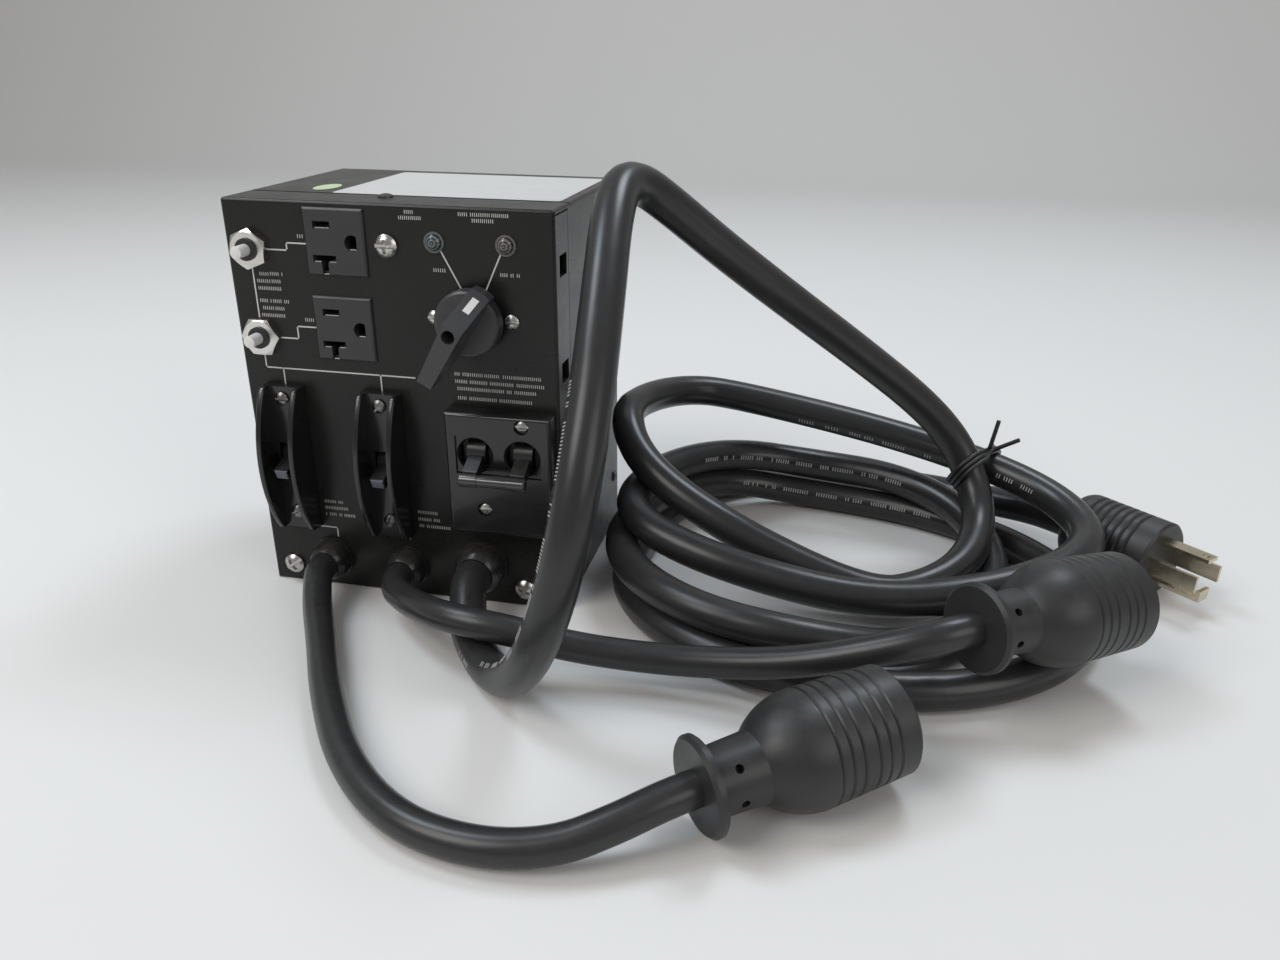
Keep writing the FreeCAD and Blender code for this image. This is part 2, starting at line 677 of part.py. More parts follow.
def make_guard(place):
    """Finger guard: a thick base and two upright ears, their front edge bowed along Z."""
    x, z = place
    low, high = z - guard_below, z + guard_above
    middle = (low + high) / 2
    base = block(x, middle, 2 * guard_half_width, high - low, 0, guard_plate)
    bow = Part.Face(outline(
        (0, low), (-guard_end_out, low), ((-guard_out, middle), (-guard_end_out, high)), (0, high), (0, low)))
    bow.rotate(V(0, 0, 0), V(0, 0, 1), 90)
    ear = bow.extrude(V(guard_wall, 0, 0))
    ends = [e for e in ear.Edges if all(abs(v.Point.y + guard_end_out) < 1e-6 for v in e.Vertexes)
            and abs(e.Vertexes[0].Point.z - e.Vertexes[-1].Point.z) < 1e-6]
    ear = ear.makeFillet(guard_end_round, ends)
    ear = rounded(ear, guard_edge_round, lambda p: p.y < -guard_plate)
    ears = []
    for left in (-guard_half_width, guard_half_width - guard_wall):
        placed = ear.copy()
        placed.translate(V(x + left, front, 0))
        ears.append(placed)
    guard = base.fuse(ears)
    cuts = [block(x, z, *toggle_window, -1, guard_plate + 1)]
    cuts += [screw_hole((x, z + rise), small_screw, -1, guard_plate + 1) for rise in guard_screw_rises]
    return guard.cut(Part.makeCompound(cuts)).removeSplitter()


def toggle_lever(place, pivot_out, reach, angle):
    """Drum with two stub pins and a lever that hangs down at the toggle's rest angle."""
    x, z = place
    pivot = V(x, front - pivot_out, z)
    drum_end = pivot - V(toggle_drum_width / 2, 0, 0)
    drum = Part.makeCylinder(toggle_drum_radius, toggle_drum_width, drum_end, V(1, 0, 0))
    pin_span = toggle_drum_width + 2 * toggle_pin_length
    pins = Part.makeCylinder(toggle_pin_radius, pin_span, pivot - V(pin_span / 2, 0, 0), V(1, 0, 0))
    lever = Part.makeBox(toggle_width, reach, toggle_thick, V(-toggle_width / 2, -reach, -toggle_thick / 2))
    lever = rounded(lever, toggle_thick / 5, lambda p: p.y < -reach + 1e-6)
    lever.rotate(V(0, 0, 0), V(1, 0, 0), angle)
    lever.translate(pivot)
    return drum.fuse([pins, lever]).removeSplitter()


def drum_socket(place, pivot_out):
    """Room for a toggle's drum and lever, and the holes its stub pins run in."""
    x, z = place
    pivot = V(x, front - pivot_out, z)
    width = toggle_drum_width + 2 * loose_gap
    radius = toggle_drum_radius + loose_gap
    socket = Part.makeCylinder(radius, width, pivot - V(width / 2, 0, 0), V(1, 0, 0))
    mouth = block(x, z, width, 2 * radius, pivot_out, pivot_out + 2 * radius)
    pin_span = toggle_drum_width + 2 * toggle_pin_length + 2 * loose_gap
    pin_end = pivot - V(pin_span / 2, 0, 0)
    pins = Part.makeCylinder(toggle_pin_radius + running_gap, pin_span, pin_end, V(1, 0, 0))
    return socket.fuse([mouth, pins])


def make_output_breaker(place):
    """Single-pole breaker: body with a boss through the panel, guard and toggle."""
    x, z = place
    body = block(x, z, *output_body, -sheet - breaker_depth, -sheet)
    body = body.fuse(block(x, z, *breaker_boss, -sheet, 0))
    holes = [screw_hole((x, z + rise), small_screw, -small_screw[3] - sheet, 0) for rise in guard_screw_rises]
    body = body.cut(Part.makeCompound([drum_socket(place, toggle_pivot_out)] + holes))
    toggle = toggle_lever(place, toggle_pivot_out, output_toggle_reach, output_toggle_angle)
    return body, make_guard(place), toggle


def make_input_breaker_body():
    """Two-pole breaker behind the panel, with one boss and drum socket for each pole."""
    x, z = input_place
    body = block(x, z, *input_body, -sheet - breaker_depth, -sheet)
    boss_out = input_pivot_out + toggle_pin_radius + loose_gap
    for place in pole_places:
        body = body.fuse(block(*place, *breaker_boss, -sheet, boss_out))
    sockets = [drum_socket(place, input_pivot_out) for place in pole_places]
    holes = [screw_hole(p, small_screw, -small_screw[3], 0) for p in bezel_screw_places]
    return body.cut(Part.makeCompound(sockets + holes))


def make_bezel():
    """Raised input breaker bezel: a bevelled well for each handle in a shallow recess, open behind."""
    x, z = input_place
    bezel = soft_block(x, z, *bezel_size, 0, bezel_out, bezel_round)
    boss_out = input_pivot_out + toggle_pin_radius + 2 * loose_gap
    floor = bezel_out - bezel_recess
    rim = 2 * (well_radius + bezel_recess_margin)
    cuts = [block(x, pole_z, pole_pitch + rim, rim, floor, bezel_out + 1)]
    for place in pole_places:
        room = (breaker_boss[0] + 2 * loose_gap, breaker_boss[1] + 2 * loose_gap)
        cuts.append(block(*place, *room, -1, boss_out))
        cuts.append(rod(*place, well_radius, -1, bezel_out + 1))
        cuts.append(Part.makeCone(well_radius, well_radius + well_bevel, well_bevel,
                                  V(place[0], front - floor + well_bevel, place[1]), V(0, -1, 0)))
    cuts += [screw_hole(p, small_screw, -1, bezel_out + 1) for p in bezel_screw_places]
    head_radius = small_screw[0] / 2 + hole_clearance
    cuts += [rod(*p, head_radius, bezel_out - small_screw[1], bezel_out + 1) for p in bezel_screw_places]
    return bezel.cut(Part.makeCompound(cuts))


def tie_bar_centre():
    """Middle of the handle tie bar at rest."""
    swing = math.radians(input_toggle_angle)
    reach = input_toggle_reach + tie_bar_radius
    out = input_pivot_out + reach * math.cos(swing)
    return V(input_place[0], front - out, pole_z - reach * math.sin(swing))


def tenon(place, grow):
    """Tip of an input toggle that plugs into the tie bar."""
    wide, thick = tenon_size[0] + 2 * grow, tenon_size[1] + 2 * grow
    tip = Part.makeBox(wide, tenon_length + 1 + grow, thick,
                       V(-wide / 2, -input_toggle_reach - tenon_length - grow, -thick / 2))
    tip.rotate(V(0, 0, 0), V(1, 0, 0), input_toggle_angle)
    tip.translate(V(place[0], front - input_pivot_out, place[1]))
    return tip


def input_levers():
    return [toggle_lever(p, input_pivot_out, input_toggle_reach, input_toggle_angle) for p in pole_places]


def make_input_toggles():
    levers = [lever.fuse(tenon(p, 0)).removeSplitter() for lever, p in zip(input_levers(), pole_places)]
    return Part.makeCompound(levers)


def make_tie_bar():
    """Round bar that joins the two input toggles: a thin middle between two hollow-ended sleeves."""
    centre = tie_bar_centre()
    end = tie_bar_length / 2
    step = end - tie_bar_sleeve_length
    thick, soft = tie_bar_sleeve_radius, tie_bar_bevel
    hollow, depth = tie_bar_hole_radius, end - tie_bar_hole_depth
    profile = outline(
        (0, -depth), (hollow, -depth), (hollow, -end), (thick - soft, -end), (thick, -end + soft),
        (thick, -step), (tie_bar_radius, -step), (tie_bar_radius, step), (thick, step), (thick, end - soft),
        (thick - soft, end), (hollow, end), (hollow, depth), (0, depth), (0, -depth))
    bar = turned(profile, centre, V(1, 0, 0))
    sockets = [tenon(p, running_gap) for p in pole_places]
    return bar.cut(Part.makeCompound(sockets)).cut(Part.makeCompound(input_levers()))


def make_relief(place, radius, collar, reach, thread_radius):
    """Cord bushing: a rim on the panel, a collar that ends in a flat-nosed dome, and a threaded tail."""
    lean = math.asin((reach - collar) / radius)
    shoulder = (radius * math.cos(lean / 2), collar + radius * math.sin(lean / 2))
    profile = outline(
        (0, -relief_tail), (thread_radius, -relief_tail), (thread_radius, 0), (radius + relief_rim, 0),
        (radius + relief_rim, relief_rim_thick), (radius, relief_rim_thick), (radius, collar),
        (shoulder, (radius * math.cos(lean), reach)), (0, reach), (0, -relief_tail))
    return turned(profile, V(place[0], front, place[1]), V(0, -1, 0))


def make_locknuts():
    nuts = []
    for (x, z), radius in zip(relief_places, relief_thread_radii):
        flats = 2 * (radius + locknut_extra)
        nut = hex_prism(V(x, panel_back, z), V(0, 1, 0), flats, locknut_thick)
        nuts.append(nut.cut(rod(x, z, radius + running_gap, -sheet - locknut_thick - 1, 0)))
    return Part.makeCompound(nuts)


def coil_points():
    """Points of the loose turns: quarter ellipses between the four ends of each turn."""
    ends = [end for plan, _ in coil_turns for end in plan]
    heights = [height for _, turn in coil_turns for height in turn]
    points = []
    for quarter in range(len(ends) - 1):
        (x0, y0), (x1, y1) = ends[quarter], ends[quarter + 1]
        for step in range(coil_step_count):
            part = step / coil_step_count
            cosine = math.cos(part * math.pi / 2)
            sine = math.sin(part * math.pi / 2)
            if quarter % 2 == 0:
                x, y = x1 + (x0 - x1) * cosine, y0 + (y1 - y0) * sine
            else:
                x, y = x0 + (x1 - x0) * sine, y1 + (y0 - y1) * cosine
            eighth = 2 * (quarter + part)
            low = int(eighth)
            points.append((x, y, heights[low] + (heights[low + 1] - heights[low]) * (eighth - low)))
    points.append(ends[-1] + (heights[-2],))
    return points


def cord_path(points):
    """Edges of a cord's centre line: straight runs joined by the largest tangent arcs that fit."""
    points = [V(*p) for p in points]
    edges = []
    radii = []
    here = points[0]
    for before, corner, after in zip(points, points[1:], points[2:]):
        back = (before - corner).normalize()
        ahead = (after - corner).normalize()
        turn = math.pi - back.getAngle(ahead)
        reach = arc_share * min((before - corner).Length, (after - corner).Length)
        radius = reach / math.tan(turn / 2)
        inwards = (back + ahead).normalize()
        middle = corner + inwards * (radius / math.cos(turn / 2) - radius)
        start = corner + back * reach
        end = corner + ahead * reach
        edges.append(Part.LineSegment(here, start).toShape())
        edges.append(Part.Arc(start, middle, end).toShape())
        radii.append(radius)
        here = end
    edges.append(Part.LineSegment(here, points[-1]).toShape())
    return edges, radii


def cord_tube(edges, diameter):
    """Round tube along a cord's centre line."""
    start = edges[0].Vertexes[0].Point
    along = edges[0].tangentAt(edges[0].FirstParameter)
    ring = Part.Wire(Part.Circle(start, along, diameter / 2).toShape())
    return Part.Wire(edges).makePipeShell([ring], True, False)


def report_cord(name, tube, edges, diameter, radii):
    length = sum(e.Length for e in edges)
    ideal = length * math.pi * diameter ** 2 / 4
    print(f"{name}: length {length:.0f}, volume ratio {tube.Volume / ideal:.4f}, valid {tube.isValid()},",
          f"lowest {tube.BoundBox.ZMin:.2f}, radii {' '.join(f'{r:.0f}' for r in radii)}")


def make_cords():
    """The two output cords, the arched lead of the input cord and its loose coil."""
    cords = {}
    for name, route in (("output_cord_1", output_cord_1_route), ("output_cord_2", output_cord_2_route)):
        edges, radii = cord_path(route)
        cords[name] = cord_tube(edges, output_cord_diameter)
        report_cord(name, cords[name], edges, output_cord_diameter, radii)
    edges, radii = cord_path(list(input_cord_route) + coil_points() + list(cord_end_route))
    corners = len(input_cord_route) - 1
    joint = edges[2 * corners]
    first, last = joint.Vertexes[0].Point, joint.Vertexes[-1].Point
    split = (first + last) / 2
    lead = edges[:2 * corners] + [Part.LineSegment(first, split).toShape()]
    coil = [Part.LineSegment(split, last).toShape()] + edges[2 * corners + 1:]
    lengths = (("input_cord", lead, radii[:corners]), ("input_cord_coil", coil, radii[corners:]))
    for name, path, bends in lengths:
        cords[name] = cord_tube(path, input_cord_diameter)
        report_cord(name, cords[name], path, input_cord_diameter, bends)
    return cords


def make_coil_tie():
    """Twist tie: a wire loop round two strands with its two ends standing up."""
    first, last = V(*tie_ends[0]), V(*tie_ends[1])
    across = V(*tie_across).normalize()
    along = last - first
    along = (along - across * along.dot(across)).normalize()
    upwards = across.cross(along)
    upwards = upwards if upwards.z > 0 else -upwards
    rise = upwards * tie_loop_radius
    path = Part.Wire([
        Part.LineSegment(first + rise, last + rise).toShape(),
        Part.Arc(last + rise, last + along * tie_loop_radius, last - rise).toShape(),
        Part.LineSegment(last - rise, first - rise).toShape(),
        Part.Arc(first - rise, first - along * tie_loop_radius, first + rise).toShape(),
    ])
    ring = Part.Wire(Part.Circle(first + rise, last - first, tie_wire_radius).toShape())
    loop = path.makePipeShell([ring], True, False)
    knot = (first + last) / 2 + rise
    leans = [upwards + across * side * tie_tail_lean for side in (-1, 1)]
    tails = [Part.makeCylinder(tie_wire_radius, tie_tail_length, knot, lean) for lean in leans]
    return loop.fuse(tails)


def plug_grooves(start):
    """V-shaped grip grooves along the plug, as outline points from start onwards."""
    points = []
    slant = plug_groove_pitch / 4
    for groove in range(plug_groove_count):
        mid = start + plug_groove_pitch * (groove + 0.5)
        points += [(plug_radius, mid - slant), (plug_radius - plug_groove_depth, mid),
                   (plug_radius, mid + slant)]
    return points


def barrel_radius(place):
    """Radius of the connector's tapered barrel at a place along it."""
    share = (place - connector_bulb_at) / (connector_length - connector_bulb_at)
    return connector_bulb_radius + share * (connector_mouth_radius - connector_bulb_radius)


def connector_grooves():
    """Narrow grip grooves in groups along the barrel, as outline points towards the mouth."""
    group_length = (group_groove_count - 1) * connector_groove_pitch + connector_group_gap
    half_width = connector_groove_width / 2
    last = connector_length - connector_mouth_band
    points = []
    for group in reversed(range(connector_groove_groups)):
        for groove in reversed(range(group_groove_count)):
            mid = last - group * group_length - groove * connector_groove_pitch
            start, end = mid - half_width, mid + half_width
            points += [(barrel_radius(start), start), (barrel_radius(mid) - connector_groove_depth, mid),
                       (barrel_radius(end), end)]
    return points


def cord_end(route):
    """Placement at the end of a cord, looking along its last run."""
    return FreeCAD.Placement(V(*route[-1]), FreeCAD.Rotation(V(0, 0, 1), V(*route[-1]) - V(*route[-2])))


def make_connector(route):
    """Rubber locking connector: rim, neck, bulb and grooved barrel, with an insert in its mouth."""
    along, across = connector_bulb_share
    neck_radius = connector_neck_radius + connector_neck_taper
    bulb_mid = connector_neck_end + along * (connector_bulb_at - connector_neck_end)
    bulb_mid_radius = neck_radius + across * (connector_bulb_radius - neck_radius)
    rim_round = connector_flange_thick / 3
    step_radius = connector_flange_radius - connector_flange_step
    step_at = connector_flange_thick - connector_flange_step
    mouth_edge = connector_length - connector_mouth_edge
    profile = outline(
        (0, 0), (connector_flange_radius - rim_round, 0), (connector_flange_radius, rim_round),
        (connector_flange_radius, step_at), (step_radius, step_at), (step_radius, connector_flange_thick),
        (connector_neck_radius, connector_flange_thick), (neck_radius, connector_neck_end),
        ((bulb_mid_radius, bulb_mid), (connector_bulb_radius, connector_bulb_at)),
        *connector_grooves(),
        (barrel_radius(mouth_edge), mouth_edge),
        (connector_mouth_radius - connector_mouth_edge, connector_length),
        (insert_radius, connector_length), (insert_radius, connector_length - insert_depth - insert_recess),
        (0, connector_length - insert_depth - insert_recess), (0, 0))
    body = turned(profile, V(0, 0, 0), V(0, 0, 1))
    for turn in neck_hole_turns:
        start = V(connector_neck_radius - neck_hole_depth, 0, neck_hole_at)
        hole = Part.makeCylinder(neck_hole_radius, 2 * neck_hole_depth, start, V(1, 0, 0))
        hole.rotate(V(0, 0, 0), V(0, 0, 1), turn)
        body = body.cut(hole)
    face = connector_length - insert_recess
    insert = Part.makeCylinder(insert_radius, insert_depth, V(0, 0, face - insert_depth))
    slots = []
    for pole in range(blade_count):
        corner = V(-insert_slot[0] / 2, insert_slot_radius - insert_slot[1] / 2, face - insert_slot_depth)
        slot = Part.makeBox(*insert_slot, insert_slot_depth + 1, corner)
        slot.rotate(V(0, 0, 0), V(0, 0, 1), pole * 360 / blade_count)
        slots.append(slot)
    insert = insert.cut(Part.makeCompound(slots))
    body.Placement = cord_end(route)
    insert.Placement = cord_end(route)
    return body, insert


def make_plug():
    """Locking plug: grooved body, insert and four blades, one pierced and one with a turned foot."""
    groove_start = plug_shoulder + 2
    profile = outline(
        (0, 0), (plug_back_radius, 0), ((plug_radius - 2, 0.3 * plug_shoulder), (plug_radius, plug_shoulder)),
        *plug_grooves(groove_start),
        (plug_radius, plug_length - 1), (plug_radius - 1, plug_length), (insert_radius, plug_length),
        (insert_radius, plug_length - insert_depth), (0, plug_length - insert_depth), (0, 0))
    body = turned(profile, V(0, 0, 0), V(0, 0, 1))
    insert = Part.makeCylinder(insert_radius, insert_depth, V(0, 0, plug_length - insert_depth))
    blades = []
    seats = []
    for pole in range(blade_count):
        corner = V(-blade_size[0] / 2, insert_slot_radius - blade_size[1] / 2, plug_length - blade_seat)
        blade = Part.makeBox(*blade_size, blade_length + blade_seat, corner)
        seats.append(blade.copy())
        if pole == 0:
            tip = plug_length + blade_length - 2 * blade_hole_radius
            blade = blade.cut(Part.makeCylinder(blade_hole_radius, 4 * blade_size[0],
                                                V(0, 0, tip), V(0, 1, 0)))
        if pole == 2:
            foot = V(corner.x, corner.y - blade_foot, plug_length + blade_length - blade_size[1])
            blade = blade.fuse(Part.makeBox(blade_size[0], blade_foot, blade_size[1], foot)).removeSplitter()
        for solid in (blade, seats[-1]):
            solid.rotate(V(0, 0, 0), V(0, 0, 1), 45 + pole * 360 / blade_count)
        blades.append(blade)
    insert = insert.cut(Part.makeCompound(seats))
    pieces = (body, insert, Part.makeCompound(blades))
    for piece in pieces:
        piece.Placement = cord_end(cord_end_route)
    return pieces


def make_ground_stud():
    """Earth stud riveted through the base, with its nut."""
    x, y = ground_stud_place
    stud = Part.makeCylinder(ground_stud_radius, ground_stud_height, V(x, y, 0))
    nut = hex_prism(V(x, y, sheet), V(0, 0, 1), ground_nut_flats, ground_nut_thick)
    return stud.fuse(nut)


def make_terminal_block():
    """Moulded terminal strip on the base, with a fence between neighbouring poles."""
    x, y = terminal_place
    length, depth, height = terminal_size
    low_y, high_y = y - depth / 2, y + depth / 2
    strip = box(x - length / 2, x + length / 2, low_y, high_y, sheet, sheet + height - terminal_step)
    pitch = (length - terminal_fence) / terminal_pole_count
    for fence in range(terminal_pole_count + 1):
        left = x - length / 2 + fence * pitch
        strip = strip.fuse(box(left, left + terminal_fence, low_y, high_y, sheet, sheet + height))
    return strip.removeSplitter()


def make_all():
    """Every node of the unit by name."""
    nodes = {
        "front_panel": make_front_panel(),
        "cover": make_cover(),
        "chassis": make_chassis(),
        "cover_screws": make_cover_screws(),
        "fixing_screws": Part.makeCompound(
            [panel_screw(p, fixing_screw, 0, fixing_slot_turn * k, True)
             for k, p in enumerate(fixing_screw_places)]),
        "switch_body": make_switch_body(),
        "switch_screws": Part.makeCompound([panel_screw(p, small_screw) for p in switch_screw_places]),
        "switch_shaft": rod(*switch_place, shaft_radius, -shaft_depth, shaft_end),
        "switch_handle": make_handle(),
        "handle_pointer": handle_frame(slope_pointer(pointer_thick, pointer_sink)),
        "handle_screw": make_handle_screw(),
    }
    for side, place in lamp_places.items():
        nodes[f"{side}_lamp_housing"], nodes[f"{side}_lamp_lens"] = make_lamp(place)
    for number, place in enumerate(outlet_places, 1):
        nodes[f"outlet_{number}"], nodes[f"outlet_{number}_contacts"] = make_outlet(place)
    for number, (place, turn) in enumerate(zip(reset_places, reset_nut_turns), 1):
        pieces = make_reset_breaker(place, turn)
        for piece, solid in zip(("body", "nut", "button"), pieces):
            nodes[f"reset_breaker_{number}_{piece}"] = solid
    for number, place in enumerate(output_places, 1):
        pieces = make_output_breaker(place)
        for piece, solid in zip(("body", "guard", "toggle"), pieces):
            nodes[f"output_breaker_{number}_{piece}"] = solid
    guard_screw = small_screw[:3] + (small_screw[3] + guard_plate - sheet,)
    nodes["output_guard_screws"] = Part.makeCompound(
        [panel_screw(p, guard_screw, guard_plate, guard_slot_turn * k)
         for k, p in enumerate(guard_screw_places)])
    nodes["input_breaker_body"] = make_input_breaker_body()
    nodes["input_breaker_bezel"] = make_bezel()
    nodes["input_breaker_toggles"] = make_input_toggles()
    nodes["handle_tie_bar"] = make_tie_bar()
    long_screw = small_screw[:3] + (small_screw[3] + bezel_out - small_screw[1],)
    nodes["input_bezel_screws"] = Part.makeCompound(
        [panel_screw(p, long_screw, bezel_out - small_screw[1]) for p in bezel_screw_places])
    reliefs = zip(relief_places, relief_radii, relief_collars, relief_reaches, relief_thread_radii)
    for number, sizes in enumerate(reliefs, 1):
        nodes[f"strain_relief_{number}"] = make_relief(*sizes)
    nodes["relief_locknuts"] = make_locknuts()
    nodes.update(make_cords())
    nodes["coil_tie"] = make_coil_tie()
    for number, route in enumerate((output_cord_1_route, output_cord_2_route), 1):
        nodes[f"connector_{number}_body"], nodes[f"connector_{number}_insert"] = make_connector(route)
    nodes["plug_body"], nodes["plug_insert"], nodes["plug_blades"] = make_plug()
    nodes["ground_stud"] = make_ground_stud()
    nodes["terminal_block"] = make_terminal_block()
    return nodes


os.makedirs("parts", exist_ok=True)
for node, shape in make_all().items():
    if not shape.isValid():
        print("not valid:", node)
    shape.exportStep(f"parts/{node}.step")
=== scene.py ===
"""Dresses the power distribution unit: cords, finishes, panel print, label, light and camera."""
import bisect
import bmesh
import bpy
import itertools
import json
import math
from mathutils import Matrix, Vector


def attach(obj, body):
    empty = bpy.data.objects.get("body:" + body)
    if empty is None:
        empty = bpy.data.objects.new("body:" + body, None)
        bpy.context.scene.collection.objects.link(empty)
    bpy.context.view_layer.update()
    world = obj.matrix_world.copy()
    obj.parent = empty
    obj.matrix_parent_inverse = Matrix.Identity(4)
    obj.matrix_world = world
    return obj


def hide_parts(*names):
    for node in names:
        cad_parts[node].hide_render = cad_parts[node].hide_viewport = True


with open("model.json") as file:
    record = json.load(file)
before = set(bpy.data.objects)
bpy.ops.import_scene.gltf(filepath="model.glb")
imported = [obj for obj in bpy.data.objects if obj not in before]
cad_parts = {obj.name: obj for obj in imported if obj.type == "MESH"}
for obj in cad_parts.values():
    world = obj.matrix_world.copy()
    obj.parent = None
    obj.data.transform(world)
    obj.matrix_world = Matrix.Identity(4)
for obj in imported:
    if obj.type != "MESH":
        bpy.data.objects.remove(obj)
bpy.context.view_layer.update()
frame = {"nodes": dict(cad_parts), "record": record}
nodes = frame["nodes"]
MM = 0.001

# Sizes that the print, the labels and the finishes are laid out on, in millimetres
PANEL_Y = -48.5
CASE_TOP = 164.0
LEFT_LENS, RIGHT_LENS = (19.8, 150.9), (47.5, 150.9)
LENS_RING_PITCH = 1.15
TOGGLE_PIVOT = (-46.9, 61.008)
TOGGLE_REACH = 15.0
TOGGLE_ANGLE = 20.0
OUTLET_PLACES = ((-19.6, 149.2), (-19.6, 115.8))
OUTLET_FACE_Y = -49.8

# Cord routes, in metres: the points that the cord solids follow
OUTPUT_CORD_DIAMETER = 0.0116
INPUT_CORD_DIAMETER = 0.0146
OUTPUT_1_LENGTH, OUTPUT_2_LENGTH, INPUT_LENGTH = 0.253, 0.252, 2.595
OUTPUT_CORD_1 = (
    (-0.037, -0.0577, 0.014), (-0.037, -0.0625, 0.014), (-0.0336, -0.0705, 0.0123), (-0.0276, -0.0825, 0.009),
    (-0.016, -0.101, 0.007), (0.001, -0.130, 0.006), (0.025, -0.1635, 0.006), (0.0515, -0.1845, 0.006),
    (0.079, -0.1905, 0.0062), (0.1025, -0.187, 0.008), (0.119, -0.179, 0.013), (0.1323, -0.1699, 0.01695),
    (0.1395, -0.1645, 0.0174),
)
OUTPUT_CORD_2 = (
    (-0.0026, -0.0577, 0.0136), (-0.0026, -0.0624, 0.0136), (0.0006, -0.069, 0.0132),
    (0.0076, -0.0765, 0.015), (0.0176, -0.0865, 0.0186), (0.0305, -0.096, 0.0218), (0.0455, -0.1005, 0.0229),
    (0.062, -0.0998, 0.0208), (0.082, -0.097, 0.0155), (0.108, -0.0945, 0.013), (0.138, -0.095, 0.015),
    (0.166, -0.098, 0.0215), (0.190, -0.100, 0.031), (0.206, -0.0995, 0.037), (0.2165, -0.09575, 0.0394),
    (0.222, -0.0915, 0.0388),
)
INPUT_LEAD = (
    (0.0312, -0.0599, 0.0184), (0.0312, -0.066, 0.0184), (0.034, -0.0745, 0.0156), (0.0382, -0.086, 0.0112),
    (0.046, -0.097, 0.0082), (0.0545, -0.107, 0.0076), (0.064, -0.1165, 0.012), (0.0735, -0.127, 0.023),
    (0.083, -0.1355, 0.041), (0.0915, -0.1385, 0.067), (0.096, -0.130, 0.097), (0.096, -0.111, 0.123),
    (0.0935, -0.087, 0.146), (0.0905, -0.064, 0.164), (0.0895, -0.046, 0.1735), (0.094, -0.034, 0.173),
    (0.105, -0.025, 0.163), (0.121, -0.015, 0.148), (0.147, 0.001, 0.1255), (0.179, 0.023, 0.098),
    (0.206, 0.040, 0.074), (0.223, 0.045, 0.056), (0.233, 0.041, 0.0385),
)
INPUT_END = (
    (0.190, 0.103, 0.008), (0.225, 0.092, 0.010), (0.248, 0.0775, 0.013), (0.2645, 0.0653, 0.016),
    (0.2753, 0.0552, 0.0171), (0.2817, 0.04905, 0.0171),
)
# Each loose turn: plan of its right, front, left and back ends, and its height at every eighth
COIL_TURNS = (
    (((237, 26), (190, -28), (75.5, 18), (118, 79)), (24.5, 16, 11, 41, 65, 63, 58, 41)),
    (((281, 15), (190, -48), (84, -12), (160, 82)), (31, 28.5, 19.4, 28.5, 37.8, 34.5, 23, 23)),
    (((245, 15), (165, -80), (81, -12), (155, 81)), (9.5, 7.5, 19.9, 21.6, 22.6, 20.6, 7.4, 7.4)),
    (((280, -8), (185, -91), (84, -14), (150, 103)), (7.4,) * 8),
)
COIL_STEPS = 3


# Camera at the photograph's place, in metres and radians, with its focal length in the photograph's pixels
CAMERA_PLACE = (0.170633, -0.396776, 0.218969)
CAMERA_YAW, CAMERA_PITCH, CAMERA_ROLL = -0.206, 0.413, 0.008
FOCAL_PIXELS = 1000
PHOTO_WIDTH = 1280
SENSOR_WIDTH = 36.0

# Lamps, in metres and watts: name, place, size, power and colour
LIGHT_AIM = (0.10, -0.02, 0.06)
WARM_LIGHT, COOL_LIGHT = (1.0, 0.97, 0.93), (0.80, 0.90, 1.0)
LAMPS = (
    ("key_lamp", (-0.85, -1.05, 1.35), 0.9, 13.0, WARM_LIGHT),
    ("fill_lamp", (1.35, -0.85, 0.80), 0.9, 5.0, WARM_LIGHT),
    ("left_top_lamp", (-0.65, -0.05, 1.25), 0.45, 5.5, COOL_LIGHT),
    ("back_top_lamp", (0.45, 0.60, 1.30), 0.45, 6.0, COOL_LIGHT),
)
WORLD_COLOUR = (0.92, 0.93, 0.95, 1)
WORLD_STRENGTH = 0.32


def set_camera():
    """Camera at the photograph's place and angle."""
    yaw, pitch, roll = CAMERA_YAW, CAMERA_PITCH, CAMERA_ROLL
    ahead = Vector((math.sin(yaw) * math.cos(pitch), math.cos(yaw) * math.cos(pitch), -math.sin(pitch)))
    right = Vector((math.cos(yaw), -math.sin(yaw), 0))
    up = right.cross(ahead)
    side = right * math.cos(roll) + up * math.sin(roll)
    top = up * math.cos(roll) - right * math.sin(roll)
    data = bpy.data.cameras.new("photo_camera")
    data.sensor_fit = "HORIZONTAL"
    data.sensor_width = SENSOR_WIDTH
    data.lens = FOCAL_PIXELS / PHOTO_WIDTH * SENSOR_WIDTH
    data.clip_start = 0.01
    camera = bpy.data.objects.new("photo_camera", data)
    turn = Matrix((side, top, -ahead)).transposed().to_4x4()
    camera.matrix_world = Matrix.Translation(CAMERA_PLACE) @ turn
    bpy.context.collection.objects.link(camera)
    bpy.context.scene.camera = camera


def set_light():
    """Soft studio light: a key lamp at the upper left, a fill, two cool overhead panels and a pale world."""
    aim = Vector(LIGHT_AIM)
    for name, place, size, power, colour in LAMPS:
        data = bpy.data.lights.new(name, "AREA")
        data.size = size
        data.energy = power
        data.color = colour
        lamp = bpy.data.objects.new(name, data)
        lamp.location = place
        lamp.rotation_euler = (aim - Vector(place)).to_track_quat("-Z", "Y").to_euler()
        bpy.context.collection.objects.link(lamp)
    world = bpy.data.worlds.new("studio_world")
    world.use_nodes = True
    sky = world.node_tree.nodes["Background"]
    sky.inputs["Color"].default_value = WORLD_COLOUR
    sky.inputs["Strength"].default_value = WORLD_STRENGTH
    bpy.context.scene.world = world
    bpy.context.scene.view_settings.view_transform = "Standard"


